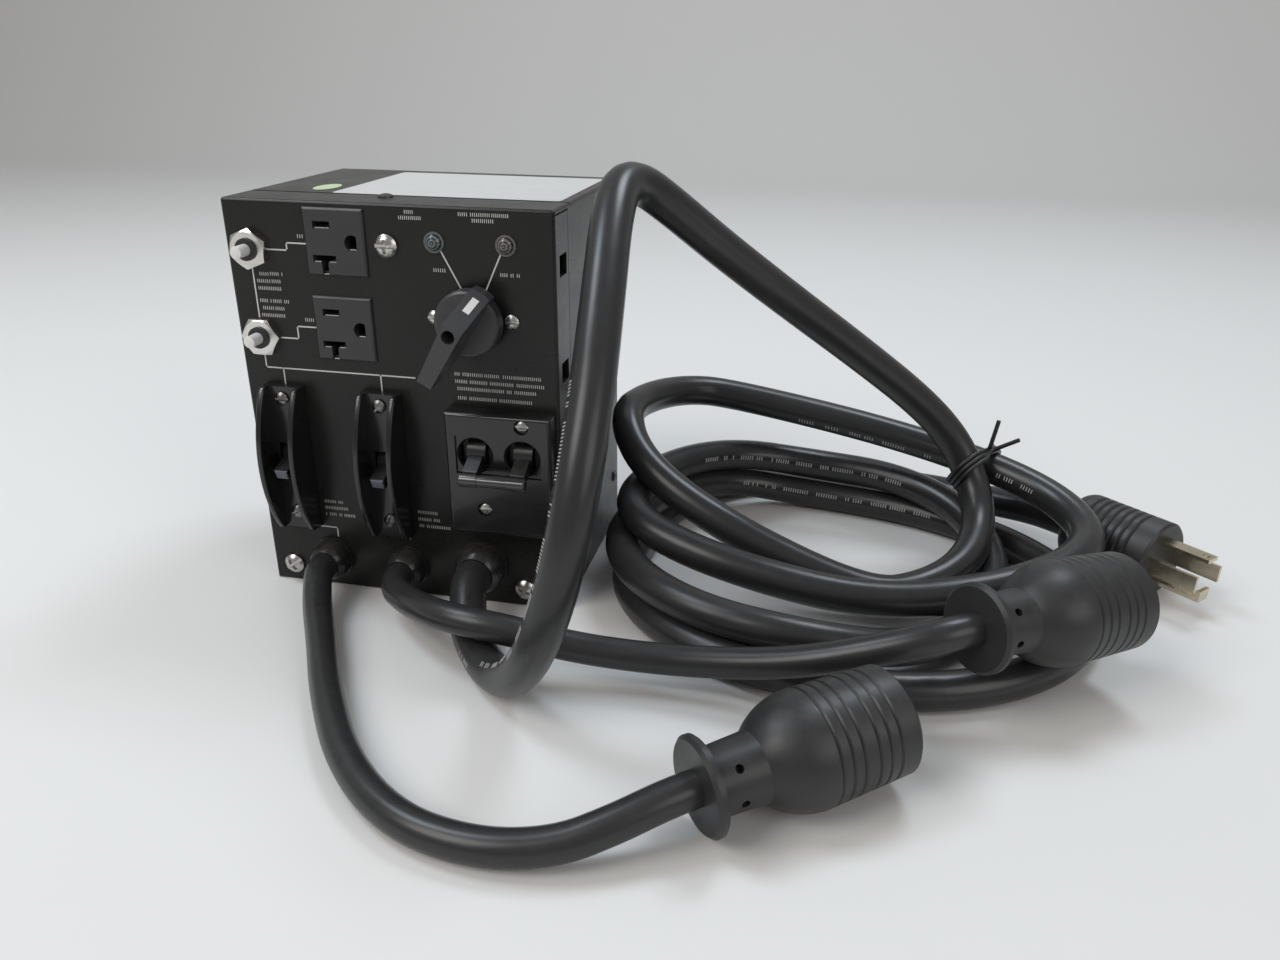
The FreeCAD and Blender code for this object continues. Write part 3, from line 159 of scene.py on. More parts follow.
def mesh_object(name, mesh, *materials):
    """Link a mesh as a new object at the origin."""
    for material in materials:
        mesh.materials.append(material)
    piece = bpy.data.objects.new(name, mesh)
    bpy.context.collection.objects.link(piece)
    return piece


def build_floor(material):
    """Pale floor that sweeps up into a backdrop."""
    floor_front, floor_back, sweep = -2.5, 1.3, 0.6
    wall_top, half_width, steps = 2.2, 4.0, 16
    outline = [(floor_front, 0.0), (floor_back, 0.0)]
    for step in range(1, steps + 1):
        angle = step / steps * math.pi / 2
        outline.append((floor_back + sweep * math.sin(angle), sweep * (1 - math.cos(angle))))
    outline.append((floor_back + sweep, wall_top))
    mesh = bpy.data.meshes.new("pale_floor")
    built = bmesh.new()
    rows = [[built.verts.new((x, y, z)) for x in (-half_width, half_width)] for y, z in outline]
    for near, far in zip(rows, rows[1:]):
        built.faces.new((near[0], near[1], far[1], far[0])).smooth = True
    built.to_mesh(mesh)
    built.free()
    mesh_object("pale_floor", mesh, material)


# Shader groups that several finishes share

def shader_group(name, inputs, outputs):
    """Empty shader node group with named sockets: returns its tree, input node and output node."""
    tree = bpy.data.node_groups.new(name, "ShaderNodeTree")
    for label, kind, value in inputs:
        socket = tree.interface.new_socket(label, in_out="INPUT", socket_type=kind)
        if value is not None:
            socket.default_value = value
    for label, kind in outputs:
        tree.interface.new_socket(label, in_out="OUTPUT", socket_type=kind)
    return tree, tree.nodes.new("NodeGroupInput"), tree.nodes.new("NodeGroupOutput")


def add(tree, kind, settings=None, **values):
    """New node with settings on the node and plain values on its sockets."""
    node = tree.nodes.new(kind)
    for key, value in (settings or {}).items():
        setattr(node, key, value)
    for key, value in values.items():
        node.inputs[key.replace("_", " ")].default_value = value
    return node


FLOAT, COLOUR, VECTOR = "NodeSocketFloat", "NodeSocketColor", "NodeSocketVector"

# Slow grain's share of the fine scale, patches' share of the wear, the dust tint that a group mixes in, the
# painted shade of the lens rings and the painted highlight on the toggle tips
SLOW_GRAIN_SHARE = 0.05
PATCH_SHARE = 0.55
DUST_COLOUR = (0.42, 0.40, 0.37, 1)
PAINTED_RING_SHADE = (0.030, 0.028, 0.026, 1)
TIP_HIGHLIGHT_COLOUR = (0.095, 0.105, 0.135, 1)
# Painted highlight on a toggle's end: where it starts and is full, in millimetres short of the lever's end
TIP_START, TIP_FULL = 0.7, 0.1


def make_grain_group():
    """Fine surface texture: a height for the bump, and a slow spread for the roughness."""
    tree, given, result = shader_group(
        "surface_grain", (("Vector", VECTOR, None), ("Scale", FLOAT, 900.0)),
        (("Height", FLOAT), ("Spread", FLOAT)))
    link = tree.links.new
    fine = add(tree, "ShaderNodeTexNoise", Detail=3.0, Roughness=0.55)
    link(given.outputs["Vector"], fine.inputs["Vector"])
    link(given.outputs["Scale"], fine.inputs["Scale"])
    slow_scale = add(tree, "ShaderNodeMath", {"operation": "MULTIPLY"})
    slow_scale.inputs[1].default_value = SLOW_GRAIN_SHARE
    link(given.outputs["Scale"], slow_scale.inputs[0])
    slow = add(tree, "ShaderNodeTexNoise", Detail=5.0, Roughness=0.6)
    link(given.outputs["Vector"], slow.inputs["Vector"])
    link(slow_scale.outputs[0], slow.inputs["Scale"])
    link(fine.outputs["Fac"], result.inputs["Height"])
    link(slow.outputs["Fac"], result.inputs["Spread"])
    return tree


def make_wear_group():
    """Handling marks: patches and fine scratches that lighten a colour, with their mask."""
    tree, given, result = shader_group(
        "handling_wear",
        (("Vector", VECTOR, None), ("Colour", COLOUR, (0.03, 0.03, 0.03, 1)),
         ("Worn Colour", COLOUR, (0.10, 0.10, 0.10, 1)), ("Amount", FLOAT, 0.3)),
        (("Colour", COLOUR), ("Mask", FLOAT)))
    link = tree.links.new
    patches = add(tree, "ShaderNodeTexNoise", Scale=38.0, Detail=6.0, Roughness=0.62)
    link(given.outputs["Vector"], patches.inputs["Vector"])
    stretch = add(tree, "ShaderNodeMapping", Scale=(1.0, 1.0, 0.06), Rotation=(0.5, 0.9, 0.3))
    link(given.outputs["Vector"], stretch.inputs["Vector"])
    scratches = add(tree, "ShaderNodeTexNoise", Scale=520.0, Detail=2.0, Roughness=0.5)
    link(stretch.outputs["Vector"], scratches.inputs["Vector"])
    patch_mask = add(tree, "ShaderNodeMapRange", From_Min=0.45, From_Max=0.80)
    link(patches.outputs["Fac"], patch_mask.inputs["Value"])
    scratch_mask = add(tree, "ShaderNodeMapRange", From_Min=0.66, From_Max=0.74)
    link(scratches.outputs["Fac"], scratch_mask.inputs["Value"])
    faint = add(tree, "ShaderNodeMath", {"operation": "MULTIPLY"})
    link(patch_mask.outputs["Result"], faint.inputs[0])
    link(scratch_mask.outputs["Result"], faint.inputs[1])
    both = add(tree, "ShaderNodeMath", {"operation": "ADD", "use_clamp": True})
    half_patch = add(tree, "ShaderNodeMath", {"operation": "MULTIPLY"})
    half_patch.inputs[1].default_value = PATCH_SHARE
    link(patch_mask.outputs["Result"], half_patch.inputs[0])
    link(half_patch.outputs[0], both.inputs[0])
    link(faint.outputs[0], both.inputs[1])
    amount = add(tree, "ShaderNodeMath", {"operation": "MULTIPLY", "use_clamp": True})
    link(both.outputs[0], amount.inputs[0])
    link(given.outputs["Amount"], amount.inputs[1])
    blend = add(tree, "ShaderNodeMix", {"data_type": "RGBA"})
    link(amount.outputs[0], blend.inputs["Factor"])
    link(given.outputs["Colour"], blend.inputs["A"])
    link(given.outputs["Worn Colour"], blend.inputs["B"])
    link(blend.outputs["Result"], result.inputs["Colour"])
    link(amount.outputs[0], result.inputs["Mask"])
    return tree


def make_dust_group():
    """Thin dust on what faces up: tints a colour and gives its mask."""
    tree, given, result = shader_group(
        "settled_dust",
        (("Vector", VECTOR, None), ("Normal", VECTOR, None), ("Colour", COLOUR, (0.03, 0.03, 0.03, 1)),
         ("Amount", FLOAT, 0.1)),
        (("Colour", COLOUR), ("Mask", FLOAT)))
    link = tree.links.new
    facing = add(tree, "ShaderNodeSeparateXYZ")
    link(given.outputs["Normal"], facing.inputs[0])
    upward = add(tree, "ShaderNodeMapRange", From_Min=0.35, From_Max=1.0)
    link(facing.outputs["Z"], upward.inputs["Value"])
    specks = add(tree, "ShaderNodeTexNoise", Scale=160.0, Detail=8.0, Roughness=0.7)
    link(given.outputs["Vector"], specks.inputs["Vector"])
    cover = add(tree, "ShaderNodeMapRange", From_Min=0.30, From_Max=0.75)
    link(specks.outputs["Fac"], cover.inputs["Value"])
    lying = add(tree, "ShaderNodeMath", {"operation": "MULTIPLY"})
    link(upward.outputs["Result"], lying.inputs[0])
    link(cover.outputs["Result"], lying.inputs[1])
    amount = add(tree, "ShaderNodeMath", {"operation": "MULTIPLY", "use_clamp": True})
    link(lying.outputs[0], amount.inputs[0])
    link(given.outputs["Amount"], amount.inputs[1])
    blend = add(tree, "ShaderNodeMix", {"data_type": "RGBA"})
    blend.inputs["B"].default_value = DUST_COLOUR
    link(amount.outputs[0], blend.inputs["Factor"])
    link(given.outputs["Colour"], blend.inputs["A"])
    link(blend.outputs["Result"], result.inputs["Colour"])
    link(amount.outputs[0], result.inputs["Mask"])
    return tree


def make_ring_group():
    """Moulded rings of a lens about its own axis: lighter and darker bands of painted shade, with their
    height.
    """
    tree, given, result = shader_group(
        "lens_rings",
        (("Vector", VECTOR, None), ("Colour", COLOUR, (0.3, 0.3, 0.3, 1)), ("Ring Pitch", FLOAT, 1.0 * MM)),
        (("Colour", COLOUR), ("Height", FLOAT)))
    link = tree.links.new
    reach = add(tree, "ShaderNodeVectorMath", {"operation": "LENGTH"})
    link(given.outputs["Vector"], reach.inputs[0])
    turns = add(tree, "ShaderNodeMath", {"operation": "DIVIDE"})
    link(reach.outputs["Value"], turns.inputs[0])
    link(given.outputs["Ring Pitch"], turns.inputs[1])
    wave = add(tree, "ShaderNodeMath", {"operation": "PINGPONG"})
    wave.inputs[1].default_value = 0.5
    link(turns.outputs[0], wave.inputs[0])
    band = add(tree, "ShaderNodeMapRange", From_Min=0.10, From_Max=0.42)
    link(wave.outputs[0], band.inputs["Value"])
    # Painted shade: the dark part of each ring is mixed into the colour
    shade = add(tree, "ShaderNodeMix", {"data_type": "RGBA"})
    shade.inputs["B"].default_value = PAINTED_RING_SHADE
    link(band.outputs["Result"], shade.inputs["Factor"])
    link(given.outputs["Colour"], shade.inputs["A"])
    link(shade.outputs["Result"], result.inputs["Colour"])
    link(wave.outputs[0], result.inputs["Height"])
    return tree


GRAIN = make_grain_group()
WEAR = make_wear_group()
DUST = make_dust_group()
RINGS = make_ring_group()


def lens_bands(tree, place, colour, centre):
    """Moulded rings about a lens centre on the panel: the colour banded with the rings' painted shade, and
    the rings' height.
    """
    across = add(tree, "ShaderNodeMapping", Scale=(1, 0, 1), Location=(-centre[0] * MM, 0, -centre[1] * MM))
    tree.links.new(place, across.inputs["Vector"])
    rings = add(tree, "ShaderNodeGroup", {"node_tree": RINGS}, Ring_Pitch=LENS_RING_PITCH * MM)
    tree.links.new(across.outputs["Vector"], rings.inputs["Vector"])
    tree.links.new(colour, rings.inputs["Colour"])
    return rings.outputs["Colour"], rings.outputs["Height"]


def paint_tip_highlight(tree, place, colour):
    """Painted highlight on the end face of the output toggles: a pale colour past a distance out from their
    pivot.
    """
    slope = math.radians(TOGGLE_ANGLE)
    from_pivot = add(tree, "ShaderNodeVectorMath", {"operation": "SUBTRACT"})
    from_pivot.inputs[1].default_value = (0, TOGGLE_PIVOT[0] * MM, TOGGLE_PIVOT[1] * MM)
    tree.links.new(place, from_pivot.inputs[0])
    outward = add(tree, "ShaderNodeVectorMath", {"operation": "DOT_PRODUCT"})
    outward.inputs[1].default_value = (0, -math.cos(slope), -math.sin(slope))
    tree.links.new(from_pivot.outputs["Vector"], outward.inputs[0])
    tip = add(tree, "ShaderNodeMapRange", From_Min=(TOGGLE_REACH - TIP_START) * MM,
              From_Max=(TOGGLE_REACH - TIP_FULL) * MM)
    tree.links.new(outward.outputs["Value"], tip.inputs["Value"])
    # Painted highlight: a pale bluish grey mixed in at the lever's end
    blend = add(tree, "ShaderNodeMix", {"data_type": "RGBA"})
    blend.inputs["B"].default_value = TIP_HIGHLIGHT_COLOUR
    tree.links.new(tip.outputs["Result"], blend.inputs["Factor"])
    tree.links.new(colour, blend.inputs["A"])
    return blend.outputs["Result"]


def finish(name, colour, worn, rough, spread=0.08, scale=900.0, bump=0.12, bump_mm=0.05, wear=0.3, dust=0.1,
           metal=0.0, sockets=None, lens_centre=None, tip_highlight=False):
    """Principled finish with surface grain, handling wear and dust, on Object coordinates."""
    material = bpy.data.materials.new(name)
    material.use_nodes = True
    tree = material.node_tree
    link = tree.links.new
    shader = tree.nodes["Principled BSDF"]
    shader.inputs["Metallic"].default_value = metal
    for socket, value in (sockets or {}).items():
        shader.inputs[socket].default_value = value
    place = add(tree, "ShaderNodeTexCoord").outputs["Object"]
    grain = add(tree, "ShaderNodeGroup", {"node_tree": GRAIN}, Scale=scale)
    link(place, grain.inputs["Vector"])
    marks = add(tree, "ShaderNodeGroup", {"node_tree": WEAR}, Colour=(*colour, 1), Worn_Colour=(*worn, 1),
                Amount=wear)
    link(place, marks.inputs["Vector"])
    settled = add(tree, "ShaderNodeGroup", {"node_tree": DUST}, Amount=dust)
    link(place, settled.inputs["Vector"])
    link(add(tree, "ShaderNodeNewGeometry").outputs["Normal"], settled.inputs["Normal"])
    link(marks.outputs["Colour"], settled.inputs["Colour"])
    seen, height = settled.outputs["Colour"], grain.outputs["Height"]
    # Lens rings: a bump and painted shade
    if lens_centre:
        seen, height = lens_bands(tree, place, seen, lens_centre)
    # Painted highlight on the toggles' ends
    if tip_highlight:
        seen = paint_tip_highlight(tree, place, seen)
    link(seen, shader.inputs["Base Color"])
    polish = add(tree, "ShaderNodeMapRange", From_Min=0.3, From_Max=0.7, To_Min=rough - spread,
                 To_Max=rough + spread)
    link(grain.outputs["Spread"], polish.inputs["Value"])
    duller = add(tree, "ShaderNodeMath", {"operation": "ADD", "use_clamp": True})
    link(polish.outputs["Result"], duller.inputs[0])
    link(settled.outputs["Mask"], duller.inputs[1])
    link(duller.outputs[0], shader.inputs["Roughness"])
    relief = add(tree, "ShaderNodeBump", Strength=bump, Distance=bump_mm * MM)
    link(height, relief.inputs["Height"])
    link(relief.outputs["Normal"], shader.inputs["Normal"])
    return material


def make_finishes():
    """One finish for each material slot of the unit, and those of the print, labels and floor."""
    steel = {"metal": 1.0, "dust": 0.05, "wear": 0.5, "bump": 0.2, "bump_mm": 0.02}
    satin = {"Specular IOR Level": 0.27}
    rubber = {"Specular IOR Level": 0.45}
    clear = {"Transmission Weight": 0.45, "IOR": 1.49}
    recipes = {
        "case_black": dict(
            colour=(0.014, 0.0134, 0.0126), worn=(0.036, 0.034, 0.032), rough=0.29, spread=0.04, scale=1500,
            bump=0.24, wear=0.28, dust=0.05, sockets=satin),
        "dark_screw": dict(
            colour=(0.20, 0.195, 0.19), worn=(0.42, 0.41, 0.39), rough=0.32, spread=0.10, scale=2500,
            **steel),
        "bright_screw": dict(
            colour=(0.54, 0.53, 0.50), worn=(0.34, 0.32, 0.29), rough=0.27, scale=2500, **steel),
        "black_moulding": dict(colour=(0.020, 0.020, 0.020), worn=(0.045, 0.045, 0.045), rough=0.55),
        "handle_grey": dict(
            colour=(0.042, 0.042, 0.045), worn=(0.095, 0.095, 0.100), rough=0.36, spread=0.06, scale=1800,
            bump=0.26, wear=0.40, dust=0.05),
        "white_mark": dict(
            colour=(0.80, 0.79, 0.77), worn=(0.62, 0.60, 0.55), rough=0.38, spread=0.06, wear=0.25, dust=0.0),
        # Lens finishes carry the rings' painted shade
        "green_lens": dict(
            colour=(0.26, 0.32, 0.32), worn=(0.34, 0.40, 0.40), rough=0.13, spread=0.05, scale=1200,
            bump=0.55, bump_mm=0.25, wear=0.4, dust=0.0, sockets=clear, lens_centre=LEFT_LENS),
        "pink_lens": dict(
            colour=(0.34, 0.295, 0.295), worn=(0.42, 0.37, 0.37), rough=0.13, spread=0.05, scale=1200,
            bump=0.55, bump_mm=0.25, wear=0.4, dust=0.0, sockets=clear, lens_centre=RIGHT_LENS),
        "green_rim": dict(
            colour=(0.090, 0.108, 0.108), worn=(0.15, 0.17, 0.17), rough=0.16, spread=0.05, scale=1200,
            bump=0.10, bump_mm=0.03, dust=0.0),
        "pink_rim": dict(
            colour=(0.115, 0.100, 0.100), worn=(0.17, 0.155, 0.155), rough=0.16, spread=0.05, scale=1200,
            bump=0.10, bump_mm=0.03, dust=0.0),
        "outlet_black": dict(
            colour=(0.030, 0.0295, 0.0295), worn=(0.056, 0.055, 0.055), rough=0.38, spread=0.06, scale=1600,
            bump=0.18, bump_mm=0.04, dust=0.05),
        "brass_contact": dict(
            colour=(0.62, 0.45, 0.20), worn=(0.38, 0.26, 0.11), rough=0.30, scale=2000, **steel),
        "slot_leaf": dict(
            colour=(0.62, 0.63, 0.66), worn=(0.44, 0.44, 0.45), rough=0.30, scale=2000, **steel),
        "nickel_nut": dict(
            colour=(0.70, 0.685, 0.65), worn=(0.48, 0.45, 0.40), rough=0.25, scale=2200, **steel),
        "white_button": dict(
            colour=(0.76, 0.75, 0.73), worn=(0.60, 0.57, 0.50), rough=0.40, spread=0.06, wear=0.35, dust=0.0),
        "guard_black": dict(
            colour=(0.010, 0.0099, 0.0097), worn=(0.032, 0.031, 0.030), rough=0.22, spread=0.06, scale=1200,
            bump=0.10, bump_mm=0.04, dust=0.04, sockets={"Coat Weight": 0.2}),
        "toggle_black": dict(
            colour=(0.012, 0.012, 0.0125), worn=(0.034, 0.034, 0.035), rough=0.34, spread=0.06, scale=1600,
            # The pale tip is a painted highlight
            bump=0.15, bump_mm=0.03, tip_highlight=True),
        "input_toggle_black": dict(
            colour=(0.008, 0.008, 0.008), worn=(0.024, 0.024, 0.024), rough=0.36, spread=0.06, scale=1600,
            bump=0.15, bump_mm=0.03),
        "tie_bar_dark": dict(
            colour=(0.036, 0.036, 0.038), worn=(0.090, 0.088, 0.088), rough=0.15, spread=0.05, scale=1600,
            bump=0.10, bump_mm=0.03, sockets={"Coat Weight": 0.5}),
        "relief_black": dict(
            colour=(0.014, 0.0138, 0.0135), worn=(0.038, 0.037, 0.036), rough=0.25, spread=0.05, scale=1100,
            bump=0.14, sockets=rubber),
        "cord_charcoal": dict(
            colour=(0.023, 0.023, 0.0236), worn=(0.046, 0.045, 0.044), rough=0.30, spread=0.05, scale=420,
            bump=0.14, bump_mm=0.10, wear=0.40, dust=0.04, sockets=rubber),
        "tie_wire": dict(
            colour=(0.018, 0.018, 0.018), worn=(0.05, 0.05, 0.05), rough=0.36, spread=0.06, scale=1600,
            bump=0.15, bump_mm=0.03),
        "connector_rubber": dict(
            colour=(0.021, 0.021, 0.0216), worn=(0.048, 0.047, 0.046), rough=0.40, spread=0.07, scale=1300,
            bump=0.26, wear=0.45, dust=0.06, sockets=rubber),
        "insert_black": dict(
            colour=(0.022, 0.0218, 0.0215), worn=(0.05, 0.049, 0.048), rough=0.46, spread=0.07),
        "brass_blade": dict(
            colour=(0.63, 0.56, 0.43), worn=(0.44, 0.36, 0.24), rough=0.26, scale=1500, **steel),
        "print_white": dict(
            colour=(0.60, 0.595, 0.57), worn=(0.34, 0.335, 0.32), rough=0.50, spread=0.06, scale=1500,
            bump=0.10, bump_mm=0.02, wear=0.45, dust=0.0),
        "cord_print": dict(
            colour=(0.46, 0.455, 0.44), worn=(0.15, 0.15, 0.145), rough=0.50, spread=0.06, scale=1500,
            bump=0.10, bump_mm=0.02, wear=0.8, dust=0.0),
        "label_white": dict(
            colour=(0.64, 0.635, 0.62), worn=(0.52, 0.505, 0.47), rough=0.46, spread=0.06, scale=700,
            bump=0.10, bump_mm=0.04, wear=0.45, dust=0.12),
        "sticker_green": dict(
            colour=(0.56, 0.68, 0.40), worn=(0.62, 0.70, 0.50), rough=0.42, spread=0.06, scale=700, bump=0.10,
            bump_mm=0.04, wear=0.4),
        "pale_floor": dict(
            colour=(0.80, 0.79, 0.77), worn=(0.78, 0.77, 0.75), rough=0.75, spread=0.05, scale=60, bump=0.03,
            bump_mm=0.2, dust=0.0),
    }
    return {name: finish(name, **recipe) for name, recipe in recipes.items()}


def coil_points():
    """Points of the loose turns: quarter ellipses between the four ends of each turn."""
    ends = [end for plan, _ in COIL_TURNS for end in plan]
    heights = [height for _, turn in COIL_TURNS for height in turn]
    points = []
    for quarter in range(len(ends) - 1):
        (x0, y0), (x1, y1) = ends[quarter], ends[quarter + 1]
        for step in range(COIL_STEPS):
            part = step / COIL_STEPS
            cosine = math.cos(part * math.pi / 2)
            sine = math.sin(part * math.pi / 2)
            if quarter % 2 == 0:
                x, y = x1 + (x0 - x1) * cosine, y0 + (y1 - y0) * sine
            else:
                x, y = x0 + (x1 - x0) * sine, y1 + (y0 - y1) * cosine
            eighth = 2 * (quarter + part)
            low = int(eighth)
            height = heights[low] + (heights[low + 1] - heights[low]) * (eighth - low)
            points.append((x * MM, y * MM, height * MM))
    points.append((ends[-1][0] * MM, ends[-1][1] * MM, heights[-2] * MM))
    return points


def cord_curve(name, points, diameter, material):
    """Round cord as one smooth open NURBS spline through its route's control points."""
    data = bpy.data.curves.new(name, "CURVE")
    data.dimensions = "3D"
    data.resolution_u = 10
    data.bevel_depth = diameter / 2
    data.bevel_resolution = 6
    data.use_fill_caps = True
    spline = data.splines.new("NURBS")
    spline.points.add(len(points) - 1)
    for knot, point in zip(spline.points, points):
        knot.co = (*point, 1)
    spline.order_u = 3
    spline.use_endpoint_u = True
    spline.use_smooth = True
    data.materials.append(material)
    cord = bpy.data.objects.new(name, data)
    bpy.context.collection.objects.link(cord)
    return cord


def centre_line(cord):
    """Points along a cord's own spline, read from a copy that has no thickness."""
    copy = bpy.data.objects.new("centre_line", cord.data.copy())
    copy.data.bevel_depth = 0
    bpy.context.collection.objects.link(copy)
    bpy.context.view_layer.update()
    mesh = bpy.data.meshes.new_from_object(copy.evaluated_get(bpy.context.evaluated_depsgraph_get()))
    points = [vertex.co.copy() for vertex in mesh.vertices]
    bpy.data.meshes.remove(mesh)
    bpy.data.objects.remove(copy)
    return points


# Twist tie, in millimetres: middles of the strands it holds, the way they run, and its wire
TIE_STRANDS = ((230.3, 41.8, 43.0), (238.1, 55.3, 40.8))
TIE_ALONG_STRANDS = (0.72, -0.47, -0.51)
TIE_RADIUS = 9.7
TIE_WIRE_RADIUS = 0.95
TIE_TURNS = 3
TIE_TURN_PITCH = 2.1
TIE_ARC_STEP = 30
TIE_TAIL_LENGTH = 15.0
TIE_TAIL_LEAN = 0.45


def wind_tie(material):
    """Twist tie: wire wound round two strands of the coil, with its ends standing up."""
    first, last = (Vector(middle) for middle in TIE_STRANDS)
    across = Vector(TIE_ALONG_STRANDS).normalized()
    along = last - first
    along = (along - across * along.dot(across)).normalized()
    upwards = across.cross(along)
    upwards = upwards if upwards.z > 0 else -upwards
    arcs = [(last, angle) for angle in range(90, -91, -TIE_ARC_STEP)]
    arcs += [(first, angle) for angle in range(-90, -271, -TIE_ARC_STEP)]
    knot = (first + last) / 2 + upwards * TIE_RADIUS
    leans = (-TIE_TAIL_LEAN, TIE_TAIL_LEAN)
    tips = [knot + (upwards + across * lean).normalized() * TIE_TAIL_LENGTH for lean in leans]
    points = [tips[0], knot.lerp(tips[0], 0.5), knot]
    for turn in range(TIE_TURNS):
        for step, (centre, angle) in enumerate(arcs):
            shift = (turn + step / len(arcs) - TIE_TURNS / 2) * TIE_TURN_PITCH
            way = upwards * math.sin(math.radians(angle)) + along * math.cos(math.radians(angle))
            points.append(centre + way * TIE_RADIUS + across * shift)
    points += [knot, knot.lerp(tips[1], 0.5), tips[1]]
    wire = cord_curve("tie_wire", [point * MM for point in points], 2 * TIE_WIRE_RADIUS * MM, material)
    bpy.context.view_layer.update()
    mesh = bpy.data.meshes.new_from_object(wire.evaluated_get(bpy.context.evaluated_depsgraph_get()))
    bpy.data.objects.remove(wire)
    tie = mesh_object("wound_tie", mesh)
    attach(tie, "case")
    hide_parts("coil_tie")
    return tie


def lay_cords(finishes):
    """The two output cords and the input cord with its coil, each laid as a curve in place of its solids."""
    jacket = finishes["cord_charcoal"]
    tie = wind_tie(finishes["tie_wire"])
    plans = (
        ("output_cord_1_lead", OUTPUT_CORD_1, OUTPUT_CORD_DIAMETER, OUTPUT_1_LENGTH, "connector", "loose",
         ("output_cord_1",), (nodes["connector_1_body"], nodes["connector_1_insert"])),
        ("output_cord_2_lead", OUTPUT_CORD_2, OUTPUT_CORD_DIAMETER, OUTPUT_2_LENGTH, "connector", "loose",
         ("output_cord_2",), (nodes["connector_2_body"], nodes["connector_2_insert"])),
        ("input_cord_run", INPUT_LEAD + tuple(coil_points()) + INPUT_END, INPUT_CORD_DIAMETER, INPUT_LENGTH,
         "plug", "coiled", ("input_cord", "input_cord_coil"),
         (tie, nodes["plug_body"], nodes["plug_insert"], nodes["plug_blades"])),
    )
    cords = {}
    for name, route, diameter, length, far_end, lay, solids, carried in plans:
        cord = cord_curve(name, route, diameter, jacket)
        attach(cord, "case")
        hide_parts(*solids)
        cords[name] = cord
    return cords


# Print: rows of small bars in place of words, laid along edges by one node tree
BAR_SIDES = ("Bar Length", "Bar Height", "Bar Thickness")
BOOLEAN_OUTPUT = 3


def make_print_tree(material):
    """Geometry nodes: bars of one size along every edge, each turned to face its row's own direction."""
    tree = bpy.data.node_groups.new("print_rows", "GeometryNodeTree")
    tree.interface.new_socket("Rows", in_out="INPUT", socket_type="NodeSocketGeometry")
    for label in ("Pitch", *BAR_SIDES, "Filled Share"):
        tree.interface.new_socket(label, in_out="INPUT", socket_type=FLOAT)
    tree.interface.new_socket("Seed", in_out="INPUT", socket_type="NodeSocketInt")
    tree.interface.new_socket("Bars", in_out="OUTPUT", socket_type="NodeSocketGeometry")
    given = tree.nodes.new("NodeGroupInput")
    result = tree.nodes.new("NodeGroupOutput")
    link = tree.links.new
    rows = add(tree, "GeometryNodeMeshToCurve")
    link(given.outputs["Rows"], rows.inputs["Mesh"])
    spaced = add(tree, "GeometryNodeResampleCurve", {"mode": "LENGTH"})
    link(rows.outputs["Curve"], spaced.inputs["Curve"])
    link(given.outputs["Pitch"], spaced.inputs["Length"])
    bar_size = add(tree, "ShaderNodeCombineXYZ")
    for axis, label in zip("XYZ", BAR_SIDES):
        link(given.outputs[label], bar_size.inputs[axis])
    bar = add(tree, "GeometryNodeMeshCube")
    link(bar_size.outputs[0], bar.inputs["Size"])
    along = add(tree, "GeometryNodeInputTangent")
    facing = add(tree, "GeometryNodeInputNamedAttribute", {"data_type": "FLOAT_VECTOR"}, Name="facing")
    first_turn = add(tree, "FunctionNodeAlignRotationToVector", {"axis": "X"})
    link(along.outputs[0], first_turn.inputs["Vector"])
    second_turn = add(tree, "FunctionNodeAlignRotationToVector", {"axis": "Z", "pivot_axis": "X"})
    link(first_turn.outputs[0], second_turn.inputs["Rotation"])
    link(facing.outputs["Attribute"], second_turn.inputs["Vector"])
    printed = add(tree, "FunctionNodeRandomValue", {"data_type": "BOOLEAN"})
    link(given.outputs["Filled Share"], printed.inputs["Probability"])
    link(given.outputs["Seed"], printed.inputs["Seed"])
    placed = add(tree, "GeometryNodeInstanceOnPoints")
    link(spaced.outputs["Curve"], placed.inputs["Points"])
    link(printed.outputs[BOOLEAN_OUTPUT], placed.inputs["Selection"])
    link(bar.outputs["Mesh"], placed.inputs["Instance"])
    link(second_turn.outputs[0], placed.inputs["Rotation"])
    solid = add(tree, "GeometryNodeRealizeInstances")
    link(placed.outputs["Instances"], solid.inputs["Geometry"])
    painted = add(tree, "GeometryNodeSetMaterial")
    painted.inputs["Material"].default_value = material
    link(solid.outputs["Geometry"], painted.inputs["Geometry"])
    link(painted.outputs["Geometry"], result.inputs["Bars"])
    return tree


def print_bars(name, rows, tree, sizes, seed):
    """Plain mesh of print bars along rows of (point, facing) pairs."""
    mesh = bpy.data.meshes.new(name)
    points = [point for row in rows for point, _ in row]
    edges = []
    start = 0
    for row in rows:
        edges += [(start + k, start + k + 1) for k in range(len(row) - 1)]
        start += len(row)
    mesh.from_pydata(points, edges, [])
    facing = mesh.attributes.new("facing", "FLOAT_VECTOR", "POINT")
    facing.data.foreach_set("vector", [value for row in rows for _, way in row for value in way])
    piece = mesh_object(name, mesh)
    modifier = piece.modifiers.new("print_rows", "NODES")
    modifier.node_group = tree
    named = {item.name: item.identifier for item in tree.interface.items_tree if item.in_out == "INPUT"}
    for label, value in sizes.items():
        modifier[named[label]] = value
    modifier[named["Seed"]] = seed
    bpy.context.view_layer.update()
    bars = bpy.data.meshes.new_from_object(piece.evaluated_get(bpy.context.evaluated_depsgraph_get()))
    piece.modifiers.remove(modifier)
    piece.data = bars
    bpy.data.meshes.remove(mesh)
    return piece


